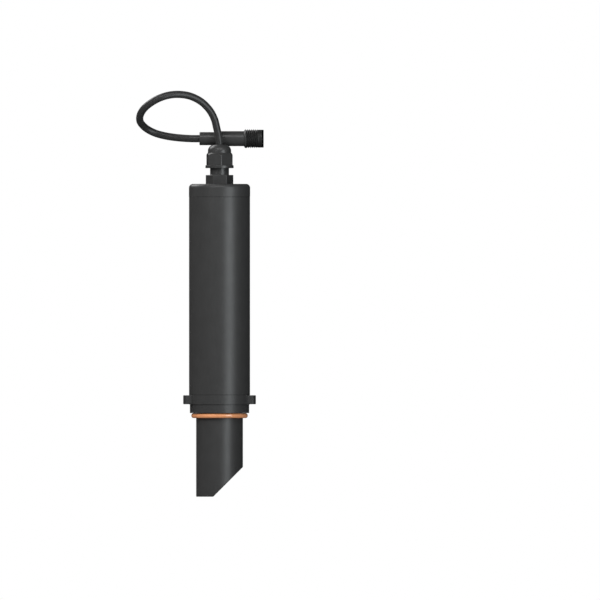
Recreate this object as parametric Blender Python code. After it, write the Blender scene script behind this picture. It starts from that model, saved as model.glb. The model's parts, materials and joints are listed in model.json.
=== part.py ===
"""Turbidity sensor: an insertion probe with a two-lug bayonet ring, a 45 degree optical tip,
a cable gland and a short cable that loops back to a threaded plug.

Metres, +Z up. The origin is the centre of the collar's lower face, on the probe's axis.
The optical face looks towards +X and down, the lugs point along +X and -X, and -Y is the front.
"""

import math

import bmesh
import bpy
from mathutils import Vector

MM = 0.001

# Clearances
FIT_GAP = 0.3 * MM
SEAL_GAP = 0.15 * MM

# Steps round a full turn, and along a quarter fillet
ROUND_STEPS = 48
GLAND_STEPS = 36
PLUG_STEPS = 32
INNER_STEPS = 28
SMALL_STEPS = 16
PIN_STEPS = 8
FILLET_STEPS = 4
SHARP_ANGLE = math.radians(32)
MERGE = 1e-7

# Housing
BODY_RADIUS = 20.0 * MM
BODY_WALL = 2.8 * MM
TUBE_LENGTH = 129.8 * MM
EDGE_BREAK = 0.2 * MM
LEAD_IN = 0.6 * MM

# Top cap
CAP_RADIUS = 20.08 * MM
CAP_HEIGHT = 8.3 * MM
CAP_FILLET = 2.6 * MM
CAP_ROOF = 5.5 * MM
CAP_SPIGOT_LENGTH = 14.0 * MM
CAP_SPIGOT_WALL = 3.9 * MM

# Bayonet ring, whose edges are broken less than the lugs are inset, so that nothing overhangs a lug
RING_HEIGHT = 5.9 * MM
RING_EDGE_BREAK = 0.1 * MM
LUG_REACH = 23.85 * MM
LUG_WIDTH = 17.0 * MM
LUG_INSET = 0.15 * MM

# End collar
COLLAR_RADIUS = 19.45 * MM
COLLAR_HEIGHT = 5.5 * MM
HUB_HEIGHT = 18.5 * MM

# O-ring sections
CAP_SEAL_SECTION = 1.8 * MM
COLLAR_SEAL_SECTION = 1.8 * MM
TIP_SEAL_SECTION = 1.3 * MM
FITTING_SEAL_SECTION = 3.05 * MM
FITTING_SEAL_SIDES = 10
INNER_SEAL_SIDES = 6

# Probe tip
TIP_RADIUS = 15.35 * MM
TIP_LENGTH = 54.9 * MM
TIP_EDGE_BREAK = 0.4 * MM
TIP_BORE = 10.8 * MM
TIP_FLOOR = 3.2 * MM
NECK_RADIUS = 13.6 * MM
NECK_PROUD = 0.8 * MM
FACE_HEIGHT = 19.5 * MM
FACE_ANGLE = math.radians(45)
FACE_WALL = 4.0 * MM

# Locknut on the tip's neck
LOCKNUT_HEIGHT = 4.0 * MM
LOCKNUT_WALL = 2.7 * MM
SPANNER_SLOT_WIDTH = 3.0 * MM
SPANNER_SLOT_DEPTH = 1.6 * MM

# Optics: the emitter looks down and the detector looks sideways, and their axes cross at 90 degrees
EMITTER_OFFSET = 7.7 * MM
DETECTOR_HEIGHT = 7.6 * MM
WINDOW_RADIUS = 2.5 * MM
WINDOW_THICKNESS = 2.0 * MM
BEAM_RADIUS = 1.5 * MM
OPTICS_BLOCK_HEIGHT = 24.4 * MM
LED_RADIUS = 1.5 * MM
LED_FLANGE_RADIUS = 1.9 * MM
LED_FLANGE_HEIGHT = 1.0 * MM
LED_LENGTH = 5.2 * MM
LED_SEAT_DEPTH = 6.5 * MM
PHOTODIODE_WIDTH = 4.4 * MM
PHOTODIODE_HEIGHT = 4.0 * MM
PHOTODIODE_DEPTH = 1.8 * MM
PHOTODIODE_SETBACK = 3.4 * MM
LEG_WIDTH = 0.6 * MM
LEG_SPACING = 2.54 * MM

# Boards and their holders
BOARD_THICKNESS = 1.6 * MM
OPTICS_BOARD_RADIUS = 10.2 * MM
MAIN_BOARD_WIDTH = 27.0 * MM
MAIN_BOARD_Y = 2.0 * MM
HOLDER_HEIGHT = 6.0 * MM
HOLDER_SLOT_DEPTH = 3.6 * MM
HOLDER_WINDOW_WIDTH = 15.0 * MM
HOLDER_WINDOW_DEPTH = 9.0 * MM
RIBBON_WIDTH = 8.0 * MM
RIBBON_THICKNESS = 0.5 * MM
RIBBON_REACH = 12.0 * MM

# Components that stand on the back of the main board, placed up from its foot
CAPACITOR_RADIUS = 4.0 * MM
CAPACITOR_HEIGHT = 9.0 * MM
CAPACITOR_PLACE = 34.0 * MM
CHOKE_RADIUS = 4.5 * MM
CHOKE_HEIGHT = 6.0 * MM
CHOKE_PLACE = 20.0 * MM
CHOKE_WAIST = 1.4 * MM
CHOKE_FLANGE = 1.0 * MM
BEAD_DEPTH = 0.5 * MM

# Components of the optics board, in millimetres: length, width and height, then the place on the board
OPTICS_COMPONENTS = [
    ("preamplifier_chip", (4.9, 3.9, 1.5), (3.5, -3.0), "chip_black"),
    ("led_thermistor", (3.2, 1.6, 0.9), (3.5, 4.0), "ceramic_tan"),
]

# Terminal that the cable's cores enter, below the board's top
TERMINAL_DROP = 9.0 * MM
TERMINAL_DEPTH = 6.5 * MM
TERMINAL_HEIGHT = 7.0 * MM
TERMINAL_PITCH = 3.5 * MM
TERMINAL_ENTRY = 2.0 * MM
CORE_NAMES = ("core_brown", "core_black", "core_blue", "core_white")

# Components of the main board, in millimetres: width, height and depth, then the place across the board
# and up from its foot
BOARD_COMPONENTS = [
    ("converter_chip", (7.5, 10.3, 2.3), 0.0, 30.0, "front", "chip_black"),
    ("microcontroller", (10.0, 10.0, 1.4), 0.0, 47.0, "front", "chip_black"),
    ("transceiver_chip", (4.9, 3.9, 1.5), 0.0, 62.0, "front", "chip_black"),
    ("power_module", (12.8, 19.5, 7.6), 0.0, 58.0, "back", "chip_black"),
]

# Cable gland
BODY_HEX_FLATS = 15.8 * MM
BODY_HEX_HEIGHT = 5.75 * MM
BODY_HEX_TURN = math.radians(1)
NUT_HEX_TURN = math.radians(-23)
GLAND_THREAD_RADIUS = 6.0 * MM
GLAND_THREAD_LENGTH = 8.6 * MM
GLAND_NECK_RADIUS = 6.22 * MM
GLAND_NECK_LENGTH = 9.15 * MM
GLAND_BORE = 3.0 * MM
CLAW_POCKET_DEPTH = 4.0 * MM
CLAW_WALL = 0.9 * MM
CLAW_SLOT = 0.8 * MM
CLAW_SLOT_BOTTOM = 4.5 * MM
CLAW_SLOTS = 3
GLAND_SEAL_WALL = 0.7 * MM
GASKET_SECTION = 1.2 * MM
NUT_RISE = 4.25 * MM
NUT_HEIGHT = 15.5 * MM
NUT_HEX_FLATS = 16.3 * MM
NUT_BLANK_RADIUS = 9.25 * MM
NUT_FLANGE_HEIGHT = 1.8 * MM
NUT_FLANGE_CONE = 2.2 * MM
NUT_CORNER_HEIGHT = 8.6 * MM
NUT_SHOULDER_HEIGHT = 10.1 * MM
DOME_RADIUS = 7.65 * MM
DOME_ROUNDING = 4.2 * MM
NUT_THREAD_HEIGHT = 7.3 * MM
NUT_CONE_TOP = 2.5 * MM
NUT_MOUTH_CHAMFER = 0.4 * MM

# Cable
CABLE_RADIUS = 2.4 * MM
CABLE_SPAN_STEPS = 2
CABLE_ROUNDNESS = 3
CABLE_IN_NUT = 3.9 * MM
CABLE_LEAD_IN = 4.2 * MM
TAIL_REACH = 14.0 * MM
CORE_RADIUS = 0.55 * MM
CORE_SPREAD = 0.7 * MM
CORE_STEPS = 4
CORE_ROUNDNESS = 1

# Plug, from the cable's end to the threaded mouth
PLUG_RISE = 3.86 * MM
PLUG_START = -13.2 * MM
SLEEVE_RADIUS = 4.3 * MM
SLEEVE_LENGTH = 12.2 * MM
BARREL_RADIUS = 4.93 * MM
BARREL_LENGTH = 16.75 * MM
SHELL_LENGTH = 12.91 * MM
SHELL_CONE = 0.7 * MM
SHELL_RADIUS = 6.0 * MM
SHELL_LAND_RADIUS = 5.84 * MM
SHELL_LAND_LENGTH = 3.1 * MM
SHELL_BACK_WALL = 1.5 * MM
SOCKET_RADIUS = 4.5 * MM
INSERT_THICKNESS = 2.0 * MM
INSERT_SPIGOT_RADIUS = 3.3 * MM
PIN_RADIUS = 0.5 * MM
PIN_CIRCLE = 2.5 * MM
PIN_REACH = 4.4 * MM
PIN_COUNT = 4

# Levels along the axis
RING_BOTTOM = COLLAR_HEIGHT + FIT_GAP
RING_TOP = RING_BOTTOM + RING_HEIGHT
TUBE_BOTTOM = RING_TOP + FIT_GAP
TUBE_TOP = TUBE_BOTTOM + TUBE_LENGTH
CAP_BOTTOM = TUBE_TOP + FIT_GAP
CAP_TOP = CAP_BOTTOM + CAP_HEIGHT
SPIGOT_BOTTOM = CAP_BOTTOM - CAP_SPIGOT_LENGTH
HUB_TOP = COLLAR_HEIGHT + HUB_HEIGHT
TIP_TOP = -FIT_GAP
TIP_BOTTOM = -TIP_LENGTH
LOCKNUT_BOTTOM = HUB_TOP + FIT_GAP
LOCKNUT_TOP = LOCKNUT_BOTTOM + LOCKNUT_HEIGHT
NECK_TOP = LOCKNUT_TOP + NECK_PROUD
GLAND_SEAT = CAP_TOP + FIT_GAP
GLAND_LEDGE = GLAND_SEAT + BODY_HEX_HEIGHT + GLAND_NECK_LENGTH - CLAW_POCKET_DEPTH
NUT_BOTTOM = GLAND_SEAT + BODY_HEX_HEIGHT + NUT_RISE
NUT_TOP = NUT_BOTTOM + NUT_HEIGHT

# Radii that follow from the parts they meet
TUBE_BORE = BODY_RADIUS - BODY_WALL
SPIGOT_RADIUS = TUBE_BORE - FIT_GAP
HUB_RADIUS = TUBE_BORE - FIT_GAP
COLLAR_BORE = NECK_RADIUS + FIT_GAP
BLOCK_RADIUS = TIP_BORE - FIT_GAP
BODY_HEX_CORNER = BODY_HEX_FLATS / math.sqrt(3)
CLAW_RADIUS = CABLE_RADIUS + SEAL_GAP + GLAND_SEAL_WALL + FIT_GAP + CLAW_WALL
NUT_MOUTH = CABLE_RADIUS + FIT_GAP

# Optical face: a plane that leaves the tip's side at FACE_HEIGHT and reaches its end
FACE_NORMAL = Vector((math.sin(FACE_ANGLE), 0, -math.cos(FACE_ANGLE)))
FACE_CORNER = Vector((TIP_RADIUS, 0, TIP_BOTTOM + FACE_HEIGHT))
DETECTOR_Z = TIP_BOTTOM + DETECTOR_HEIGHT
DETECTOR_X = FACE_CORNER.x - (FACE_CORNER.z - DETECTOR_Z) / math.tan(FACE_ANGLE)
EMITTER_Z = FACE_CORNER.z - (FACE_CORNER.x - EMITTER_OFFSET) * math.tan(FACE_ANGLE)

# Where each beam crosses the face, and its turn from +Z into the tip
BEAMS = [
    ("emitter", Vector((EMITTER_OFFSET, 0, EMITTER_Z)), (0, 0, 0)),
    ("detector", Vector((DETECTOR_X, 0, DETECTOR_Z)), (0, -math.pi / 2, 0)),
]

# Optics block, behind the wall of the face
BLOCK_BOTTOM = TIP_BOTTOM + TIP_FLOOR + FIT_GAP
BLOCK_TOP = BLOCK_BOTTOM + OPTICS_BLOCK_HEIGHT
OPTICS_BOARD_BOTTOM = BLOCK_TOP + FIT_GAP
OPTICS_BOARD_TOP = OPTICS_BOARD_BOTTOM + BOARD_THICKNESS
LED_SEAT = BLOCK_TOP - LED_SEAT_DEPTH
PHOTODIODE_FRONT = DETECTOR_X - (FACE_WALL + FIT_GAP) / math.sin(FACE_ANGLE) - PHOTODIODE_SETBACK
PHOTODIODE_BACK = PHOTODIODE_FRONT - PHOTODIODE_DEPTH

# Main board, between its two holders
LOWER_HOLDER_BOTTOM = NECK_TOP + FIT_GAP
UPPER_HOLDER_TOP = SPIGOT_BOTTOM - FIT_GAP
LOWER_SLOT_FLOOR = LOWER_HOLDER_BOTTOM + HOLDER_HEIGHT - HOLDER_SLOT_DEPTH
UPPER_SLOT_ROOF = UPPER_HOLDER_TOP - HOLDER_HEIGHT + HOLDER_SLOT_DEPTH
BOARD_BOTTOM = LOWER_SLOT_FLOOR + FIT_GAP
BOARD_TOP = UPPER_SLOT_ROOF - FIT_GAP
BOARD_FRONT = MAIN_BOARD_Y - BOARD_THICKNESS / 2
BOARD_BACK = MAIN_BOARD_Y + BOARD_THICKNESS / 2
TERMINAL_TOP = BOARD_TOP - TERMINAL_DROP

# End of the cable inside the gland
TAIL_TOP = NUT_TOP - CABLE_IN_NUT - FIT_GAP
TAIL_BOTTOM = CAP_TOP - TAIL_REACH

# The plug lies on the gland nut's crown, just behind the cable
CROWN_Y = DOME_RADIUS - DOME_ROUNDING
PLUG_Z = NUT_TOP + PLUG_RISE
PLUG_REST = BARREL_RADIUS + DOME_ROUNDING + FIT_GAP
PLUG_Y = CROWN_Y + math.sqrt(PLUG_REST**2 - (PLUG_RISE + DOME_ROUNDING) ** 2)
SHELL_BACK = SLEEVE_LENGTH + BARREL_LENGTH + FIT_GAP
SHELL_FRONT = SHELL_BACK + SHELL_LENGTH
INSERT_BACK = SHELL_BACK + SHELL_BACK_WALL + FIT_GAP
INSERT_FACE = INSERT_BACK + INSERT_THICKNESS

# The free cable's route in millimetres from the nut's mouth: up from the gland, over in a loop that
# leans forwards and then swings round behind, and back along +X into the plug
CABLE_ROUTE = [
    (-0.15, 0.0, 2.3),
    (-0.8, 0.0, 6.3),
    (-1.9, -0.2, 11.0),
    (-3.4, -1.0, 16.8),
    (-6.6, -2.6, 22.7),
    (-12.0, -5.0, 28.1),
    (-19.1, -7.6, 31.7),
    (-26.4, -9.9, 32.9),
    (-33.2, -11.6, 32.4),
    (-39.6, -12.4, 30.4),
    (-45.3, -11.3, 27.2),
    (-49.6, -7.9, 23.5),
    (-52.0, -2.6, 19.5),
    (-52.3, 3.2, 15.9),
    (-50.9, 8.2, 13.2),
    (-47.4, 12.0, 10.1),
    (-42.0, 13.9, 7.4),
    (-35.2, 13.7, 5.6),
    (-28.5, 12.0, 4.6),
    (-22.8, 9.8, 4.1),
]


def colour(red, green, blue):
    """A linear colour from the 0 to 255 values that a screen shows."""

    def linear(value):
        share = value / 255
        return share / 12.92 if share <= 0.04045 else ((share + 0.055) / 1.055) ** 2.4

    return (linear(red), linear(green), linear(blue), 1.0)


# Finishes: colour, roughness, metallic
FINISHES = {
    "black_polymer": (colour(58, 58, 58), 0.42, 0.0),
    "black_nylon": (colour(54, 56, 56), 0.36, 0.0),
    "orange_silicone": (colour(222, 140, 92), 0.38, 0.0),
    "black_rubber": (colour(30, 30, 30), 0.7, 0.0),
    "window_glass": (colour(120, 130, 150), 0.05, 0.0),
    "matt_black": (colour(22, 22, 22), 0.85, 0.0),
    "led_lens": (colour(70, 60, 110), 0.1, 0.0),
    "board_green": (colour(28, 92, 52), 0.45, 0.0),
    "chip_black": (colour(34, 34, 36), 0.55, 0.0),
    "ceramic_tan": (colour(170, 140, 100), 0.6, 0.0),
    "capacitor_can": (colour(190, 192, 196), 0.3, 1.0),
    "gold_pin": (colour(214, 176, 90), 0.25, 1.0),
    "holder_grey": (colour(150, 152, 150), 0.5, 0.0),
    "terminal_green": (colour(60, 150, 90), 0.4, 0.0),
    "ribbon_grey": (colour(160, 160, 158), 0.5, 0.0),
    "cable_black": (colour(50, 52, 52), 0.45, 0.0),
    "core_brown": (colour(110, 66, 40), 0.45, 0.0),
    "core_black": (colour(26, 26, 26), 0.45, 0.0),
    "core_blue": (colour(40, 80, 170), 0.45, 0.0),
    "core_white": (colour(225, 225, 220), 0.45, 0.0),
}


def clear_scene():
    for obj in list(bpy.data.objects):
        bpy.data.objects.remove(obj, do_unlink=True)


def material(finish):
    """The Principled material of one finish, made once."""
    if finish in bpy.data.materials:
        return bpy.data.materials[finish]
    base, roughness, metallic = FINISHES[finish]
    made = bpy.data.materials.new(finish)
    made.use_nodes = True
    shader = made.node_tree.nodes["Principled BSDF"]
    shader.inputs["Base Color"].default_value = base
    shader.inputs["Roughness"].default_value = roughness
    shader.inputs["Metallic"].default_value = metallic
    made.diffuse_color = base
    return made


def add_object(name, bm, finish=None, parent=None):
    """Links the mesh as an object. With no finish it is a cutter, which isn't part of the object."""
    mesh = bpy.data.meshes.new(name)
    bmesh.ops.recalc_face_normals(bm, faces=bm.faces)
    bm.to_mesh(mesh)
    bm.free()
    mesh.shade_smooth()
    mesh.set_sharp_from_angle(angle=SHARP_ANGLE)
    obj = bpy.data.objects.new(name, mesh)
    bpy.context.collection.objects.link(obj)
    obj.parent = parent
    if finish is None:
        obj.hide_render = True
        obj.display_type = "WIRE"
    else:
        mesh.materials.append(material(finish))
    return obj


def add_empty(name, location, rotation):
    """An empty that a group of pieces is placed by."""
    empty = bpy.data.objects.new(name, None)
    bpy.context.collection.objects.link(empty)
    empty.location = location
    empty.rotation_euler = rotation
    return empty


def combine(obj, other, operation="DIFFERENCE"):
    """Cuts the other object from this one, joins it on, or keeps what both hold."""
    modifier = obj.modifiers.new(other.name, "BOOLEAN")
    modifier.operation = operation
    modifier.solver = "EXACT"
    modifier.object = other
    return obj


def arc(centre, radius, start, end, steps):
    """Points of an arc in the profile plane, from start to end in degrees."""
    points = []
    for step in range(steps + 1):
        angle = math.radians(start + (end - start) * step / steps)
        points.append((centre[0] + radius * math.cos(angle), centre[1] + radius * math.sin(angle)))
    return points


def revolve(profile, steps):
    """A mesh turned about Z from (radius, height) points. The outline closes on itself or on the axis."""
    bm = bmesh.new()
    points = [bm.verts.new((radius, 0, height)) for radius, height in profile]
    edges = [bm.edges.new(pair) for pair in zip(points, points[1:])]
    if profile[0][0] > 0 or profile[-1][0] > 0:
        edges.append(bm.edges.new((points[-1], points[0])))
    outline = points + edges
    turn = 2 * math.pi
    bmesh.ops.spin(bm, geom=outline, cent=(0, 0, 0), axis=(0, 0, 1), angle=turn, steps=steps, use_merge=True)
    bmesh.ops.remove_doubles(bm, verts=bm.verts, dist=MERGE)
    bmesh.ops.dissolve_degenerate(bm, edges=bm.edges, dist=MERGE)
    return bm


def rod(radius, bottom, top, steps):
    """A plain cylinder along Z."""
    return revolve([(0, bottom), (radius, bottom), (radius, top), (0, top)], steps)


def block(low, high):
    """A box between two corners."""
    bm = bmesh.new()
    bmesh.ops.create_cube(bm, size=1)
    for vert in bm.verts:
        vert.co = [low[axis] if vert.co[axis] < 0 else high[axis] for axis in range(3)]
    return bm


def bevel_edges(bm, edges, width):
    bmesh.ops.bevel(bm, geom=edges, offset=width, segments=1, profile=0.5, affect="EDGES")


def slice_off(bm, point, normal):
    """Removes what lies beyond a plane and closes the cut with one flat face."""
    everything = bm.verts[:] + bm.edges[:] + bm.faces[:]
    cut = bmesh.ops.bisect_plane(
        bm, geom=everything, dist=MERGE, plane_co=point, plane_no=normal, clear_outer=True
    )
    rim = [edge for edge in cut["geom_cut"] if isinstance(edge, bmesh.types.BMEdge)]
    bmesh.ops.edgeloop_fill(bm, edges=rim)


def hexagon(flats, turn, bottom, top):
    """A hexagonal prism of that width across flats, turned about Z from having a corner at +X."""
    corner = flats / math.sqrt(3)
    bm = bmesh.new()
    for height in (bottom, top):
        for side in range(6):
            angle = turn + math.radians(60 * side)
            bm.verts.new((corner * math.cos(angle), corner * math.sin(angle), height))
    bm.verts.ensure_lookup_table()
    bm.faces.new(bm.verts[:6])
    bm.faces.new(bm.verts[6:])
    for side in range(6):
        after = (side + 1) % 6
        bm.faces.new([bm.verts[side], bm.verts[after], bm.verts[after + 6], bm.verts[side + 6]])
    return bm


def cut_flats(obj, flats, turn, floor_profile, bottom, top):
    """Mills six flats into a turned blank, from its outside down to the given floor profile."""
    waste = add_object(obj.name + "_waste", revolve(floor_profile, GLAND_STEPS))
    core = add_object(obj.name + "_flats", hexagon(flats, turn, bottom, top))
    combine(waste, core)
    combine(obj, waste)


def groove(bore, section, height):
    """Lower outer to upper outer corners of the O-ring groove in a spigot, which a bore closes."""
    floor = bore - section - 2 * SEAL_GAP
    half = section / 2 + SEAL_GAP
    face = bore - FIT_GAP
    return [(face, height - half), (floor, height - half), (floor, height + half), (face, height + half)]


def make_seal(name, inner_radius, section, height, sides, steps, finish):
    """An O-ring about the probe's axis."""
    centre = (inner_radius + section / 2, height)
    circle = arc(centre, section / 2, 0, 360, sides)[:-1]
    add_object(name, revolve(circle, steps), finish)


def make_spigot_seal(name, bore, section, height):
    """The O-ring that lies in the groove of a spigot."""
    inner_radius = bore - SEAL_GAP - section
    make_seal(name, inner_radius, section, height, INNER_SEAL_SIDES, INNER_STEPS, "black_rubber")


def make_housing_tube():
    outline = [
        (BODY_RADIUS - EDGE_BREAK, TUBE_BOTTOM),
        (BODY_RADIUS, TUBE_BOTTOM + EDGE_BREAK),
        (BODY_RADIUS, TUBE_TOP - EDGE_BREAK),
        (BODY_RADIUS - EDGE_BREAK, TUBE_TOP),
        (TUBE_BORE + LEAD_IN, TUBE_TOP),
        (TUBE_BORE, TUBE_TOP - LEAD_IN),
        (TUBE_BORE, TUBE_BOTTOM + LEAD_IN),
        (TUBE_BORE + LEAD_IN, TUBE_BOTTOM),
    ]
    add_object("housing_tube", revolve(outline, ROUND_STEPS), "black_polymer")


def make_top_cap():
    seal_height = SPIGOT_BOTTOM + CAP_SPIGOT_LENGTH / 2
    recess = GLAND_THREAD_RADIUS + GASKET_SECTION + 2 * SEAL_GAP
    recess_floor = CAP_TOP - GASKET_SECTION - SEAL_GAP
    hole = GLAND_THREAD_RADIUS + FIT_GAP
    inner = SPIGOT_RADIUS - CAP_SPIGOT_WALL
    rim = arc((CAP_RADIUS - CAP_FILLET, CAP_TOP - CAP_FILLET), CAP_FILLET, 0, 90, FILLET_STEPS)
    outline = [
        (SPIGOT_RADIUS, CAP_BOTTOM),
        (CAP_RADIUS - EDGE_BREAK, CAP_BOTTOM),
        (CAP_RADIUS, CAP_BOTTOM + EDGE_BREAK),
        *rim,
        (recess, CAP_TOP),
        (recess, recess_floor),
        (hole, recess_floor),
        (hole, CAP_TOP - CAP_ROOF),
        (inner, CAP_TOP - CAP_ROOF),
        (inner, SPIGOT_BOTTOM),
        (SPIGOT_RADIUS - LEAD_IN, SPIGOT_BOTTOM),
        (SPIGOT_RADIUS, SPIGOT_BOTTOM + LEAD_IN),
        *groove(TUBE_BORE, CAP_SEAL_SECTION, seal_height),
    ]
    add_object("top_cap", revolve(outline, ROUND_STEPS), "black_polymer")
    make_spigot_seal("cap_seal", TUBE_BORE, CAP_SEAL_SECTION, seal_height)


def make_bayonet_ring():
    """A ring with a lug on each side, whose ends are concentric and whose flanks are parallel."""
    inner = HUB_RADIUS + FIT_GAP
    outline = [
        (inner, RING_BOTTOM),
        (BODY_RADIUS - RING_EDGE_BREAK, RING_BOTTOM),
        (BODY_RADIUS, RING_BOTTOM + RING_EDGE_BREAK),
        (BODY_RADIUS, RING_TOP - RING_EDGE_BREAK),
        (BODY_RADIUS - RING_EDGE_BREAK, RING_TOP),
        (inner, RING_TOP),
    ]
    ring = add_object("bayonet_ring", revolve(outline, ROUND_STEPS), "black_polymer")
    for name, middle in (("right_lug", 0), ("left_lug", math.pi)):
        lug = add_object(name, make_lug((inner + BODY_RADIUS) / 2))
        lug.rotation_euler.z = middle
        combine(ring, lug, "UNION")


def make_lug(root):
    """One lug along +X, from an arc inside the ring's wall out to its concentric end."""
    outline = []
    for radius, way in ((LUG_REACH, 1), (root, -1)):
        flank = way * math.degrees(math.asin(LUG_WIDTH / 2 / radius))
        outline += arc((0, 0), radius, -flank, flank, 2 * FILLET_STEPS)
    bm = bmesh.new()
    bottom = RING_BOTTOM + LUG_INSET
    base = bm.faces.new([bm.verts.new((x, y, bottom)) for x, y in outline])
    raised = bmesh.ops.extrude_face_region(bm, geom=[base])["geom"]
    top = [item for item in raised if isinstance(item, bmesh.types.BMVert)]
    bmesh.ops.translate(bm, verts=top, vec=(0, 0, RING_HEIGHT - 2 * LUG_INSET))
    bmesh.ops.recalc_face_normals(bm, faces=bm.faces)
    bevel_edges(bm, [edge for edge in bm.edges if edge.calc_face_angle(0) > SHARP_ANGLE], EDGE_BREAK)
    return bm


def make_end_collar():
    seal_height = (TUBE_BOTTOM + HUB_TOP) / 2
    outline = [
        (COLLAR_BORE, 0),
        (COLLAR_RADIUS - EDGE_BREAK, 0),
        (COLLAR_RADIUS, EDGE_BREAK),
        (COLLAR_RADIUS, COLLAR_HEIGHT - EDGE_BREAK),
        (COLLAR_RADIUS - EDGE_BREAK, COLLAR_HEIGHT),
        (HUB_RADIUS, COLLAR_HEIGHT),
        *groove(TUBE_BORE, COLLAR_SEAL_SECTION, seal_height),
        (HUB_RADIUS, HUB_TOP - LEAD_IN),
        (HUB_RADIUS - LEAD_IN, HUB_TOP),
        (COLLAR_BORE, HUB_TOP),
    ]
    add_object("end_collar", revolve(outline, ROUND_STEPS), "black_polymer")
    make_spigot_seal("collar_seal", TUBE_BORE, COLLAR_SEAL_SECTION, seal_height)


def make_fitting_seal():
    """The orange O-ring that seals the sensor in its fitting."""
    height = TIP_TOP - FITTING_SEAL_SECTION / 2
    inner = TIP_RADIUS + SEAL_GAP
    sides = FITTING_SEAL_SIDES
    make_seal("fitting_seal", inner, FITTING_SEAL_SECTION, height, sides, ROUND_STEPS, "orange_silicone")


def make_probe_tip():
    seal_height = HUB_HEIGHT / 2
    outline = [
        (0, TIP_BOTTOM),
        (TIP_RADIUS, TIP_BOTTOM),
        (TIP_RADIUS, TIP_TOP),
        (NECK_RADIUS, TIP_TOP),
        *groove(COLLAR_BORE, TIP_SEAL_SECTION, seal_height),
        (NECK_RADIUS, NECK_TOP - EDGE_BREAK),
        (NECK_RADIUS - EDGE_BREAK, NECK_TOP),
        (0, NECK_TOP),
    ]
    bm = revolve(outline, ROUND_STEPS)
    slice_off(bm, FACE_CORNER, FACE_NORMAL)
    below = TIP_TOP - FITTING_SEAL_SECTION
    rim = [
        edge
        for edge in bm.edges
        if edge.calc_face_angle(0) > SHARP_ANGLE and max(vert.co.z for vert in edge.verts) < below
    ]
    bevel_edges(bm, rim, TIP_EDGE_BREAK)
    tip = add_object("probe_tip", bm, "black_polymer")

    cavity = rod(TIP_BORE, TIP_BOTTOM + TIP_FLOOR, NECK_TOP + LEAD_IN, INNER_STEPS)
    slice_off(cavity, FACE_CORNER - FACE_WALL * FACE_NORMAL, FACE_NORMAL)
    combine(tip, add_object("tip_cavity", cavity))

    pocket_depth = WINDOW_THICKNESS + SEAL_GAP
    beam_depth = FACE_WALL / math.cos(FACE_ANGLE) + WINDOW_RADIUS
    for name, spot, beam_turn in BEAMS:
        face = add_empty(name + "_face", spot, (0, math.pi - FACE_ANGLE, 0))
        pocket = rod(WINDOW_RADIUS + SEAL_GAP, -pocket_depth, pocket_depth, SMALL_STEPS)
        combine(tip, add_object(name + "_pocket", pocket, parent=face))
        window = rod(WINDOW_RADIUS, -WINDOW_THICKNESS, 0, SMALL_STEPS)
        add_object(name + "_window", window, "window_glass", parent=face)
        beam = add_object(name + "_beam", rod(BEAM_RADIUS, 0, beam_depth, SMALL_STEPS))
        beam.location = spot
        beam.rotation_euler = beam_turn
        combine(tip, beam)
    make_spigot_seal("tip_seal", COLLAR_BORE, TIP_SEAL_SECTION, seal_height)


def make_tip_locknut():
    """The ring nut that clamps the tip's neck in the collar, with four spanner slots."""
    inner = NECK_RADIUS + FIT_GAP
    outer = inner + LOCKNUT_WALL
    outline = [
        (inner, LOCKNUT_BOTTOM),
        (outer, LOCKNUT_BOTTOM),
        (outer, LOCKNUT_TOP),
        (inner, LOCKNUT_TOP),
    ]
    nut = add_object("tip_locknut", revolve(outline, ROUND_STEPS), "black_polymer")
    half = SPANNER_SLOT_WIDTH / 2
    floor = LOCKNUT_TOP - SPANNER_SLOT_DEPTH
    roof = LOCKNUT_TOP + SPANNER_SLOT_DEPTH
    reach = outer + LOCKNUT_WALL
    for name, x, y in (("slots_x", reach, half), ("slots_y", half, reach)):
        combine(nut, add_object("locknut_" + name, block((-x, -y, floor), (x, y, roof))))


def make_optics_block():
    """The moulding that fills the tip's end, with the emitter's bore and the photodiode's slot."""
    bm = rod(BLOCK_RADIUS, BLOCK_BOTTOM, BLOCK_TOP, INNER_STEPS)
    slice_off(bm, FACE_CORNER - (FACE_WALL + FIT_GAP) * FACE_NORMAL, FACE_NORMAL)
    moulding = add_object("optics_block", bm, "matt_black")

    seat = rod(LED_FLANGE_RADIUS + SEAL_GAP, LED_SEAT, BLOCK_TOP + LED_LENGTH, SMALL_STEPS)
    aperture = rod(BEAM_RADIUS, DETECTOR_Z, LED_SEAT + LED_LENGTH, SMALL_STEPS)
    for name, bore in (("led_seat", seat), ("led_aperture", aperture)):
        cutter = add_object(name, bore)
        cutter.location.x = EMITTER_OFFSET
        combine(moulding, cutter)

    gap = SEAL_GAP
    low = (PHOTODIODE_BACK - gap, -PHOTODIODE_WIDTH / 2 - gap, DETECTOR_Z - PHOTODIODE_HEIGHT / 2 - gap)
    high = (PHOTODIODE_FRONT + gap, PHOTODIODE_WIDTH / 2 + gap, BLOCK_TOP + LED_LENGTH)
    combine(moulding, add_object("photodiode_slot", block(low, high)))
    sight = add_object("photodiode_sight", rod(BEAM_RADIUS, 0, 2 * PHOTODIODE_SETBACK, SMALL_STEPS))
    sight.location = (PHOTODIODE_FRONT - gap, 0, DETECTOR_Z)
    sight.rotation_euler = (0, math.pi / 2, 0)
    combine(moulding, sight)


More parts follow.
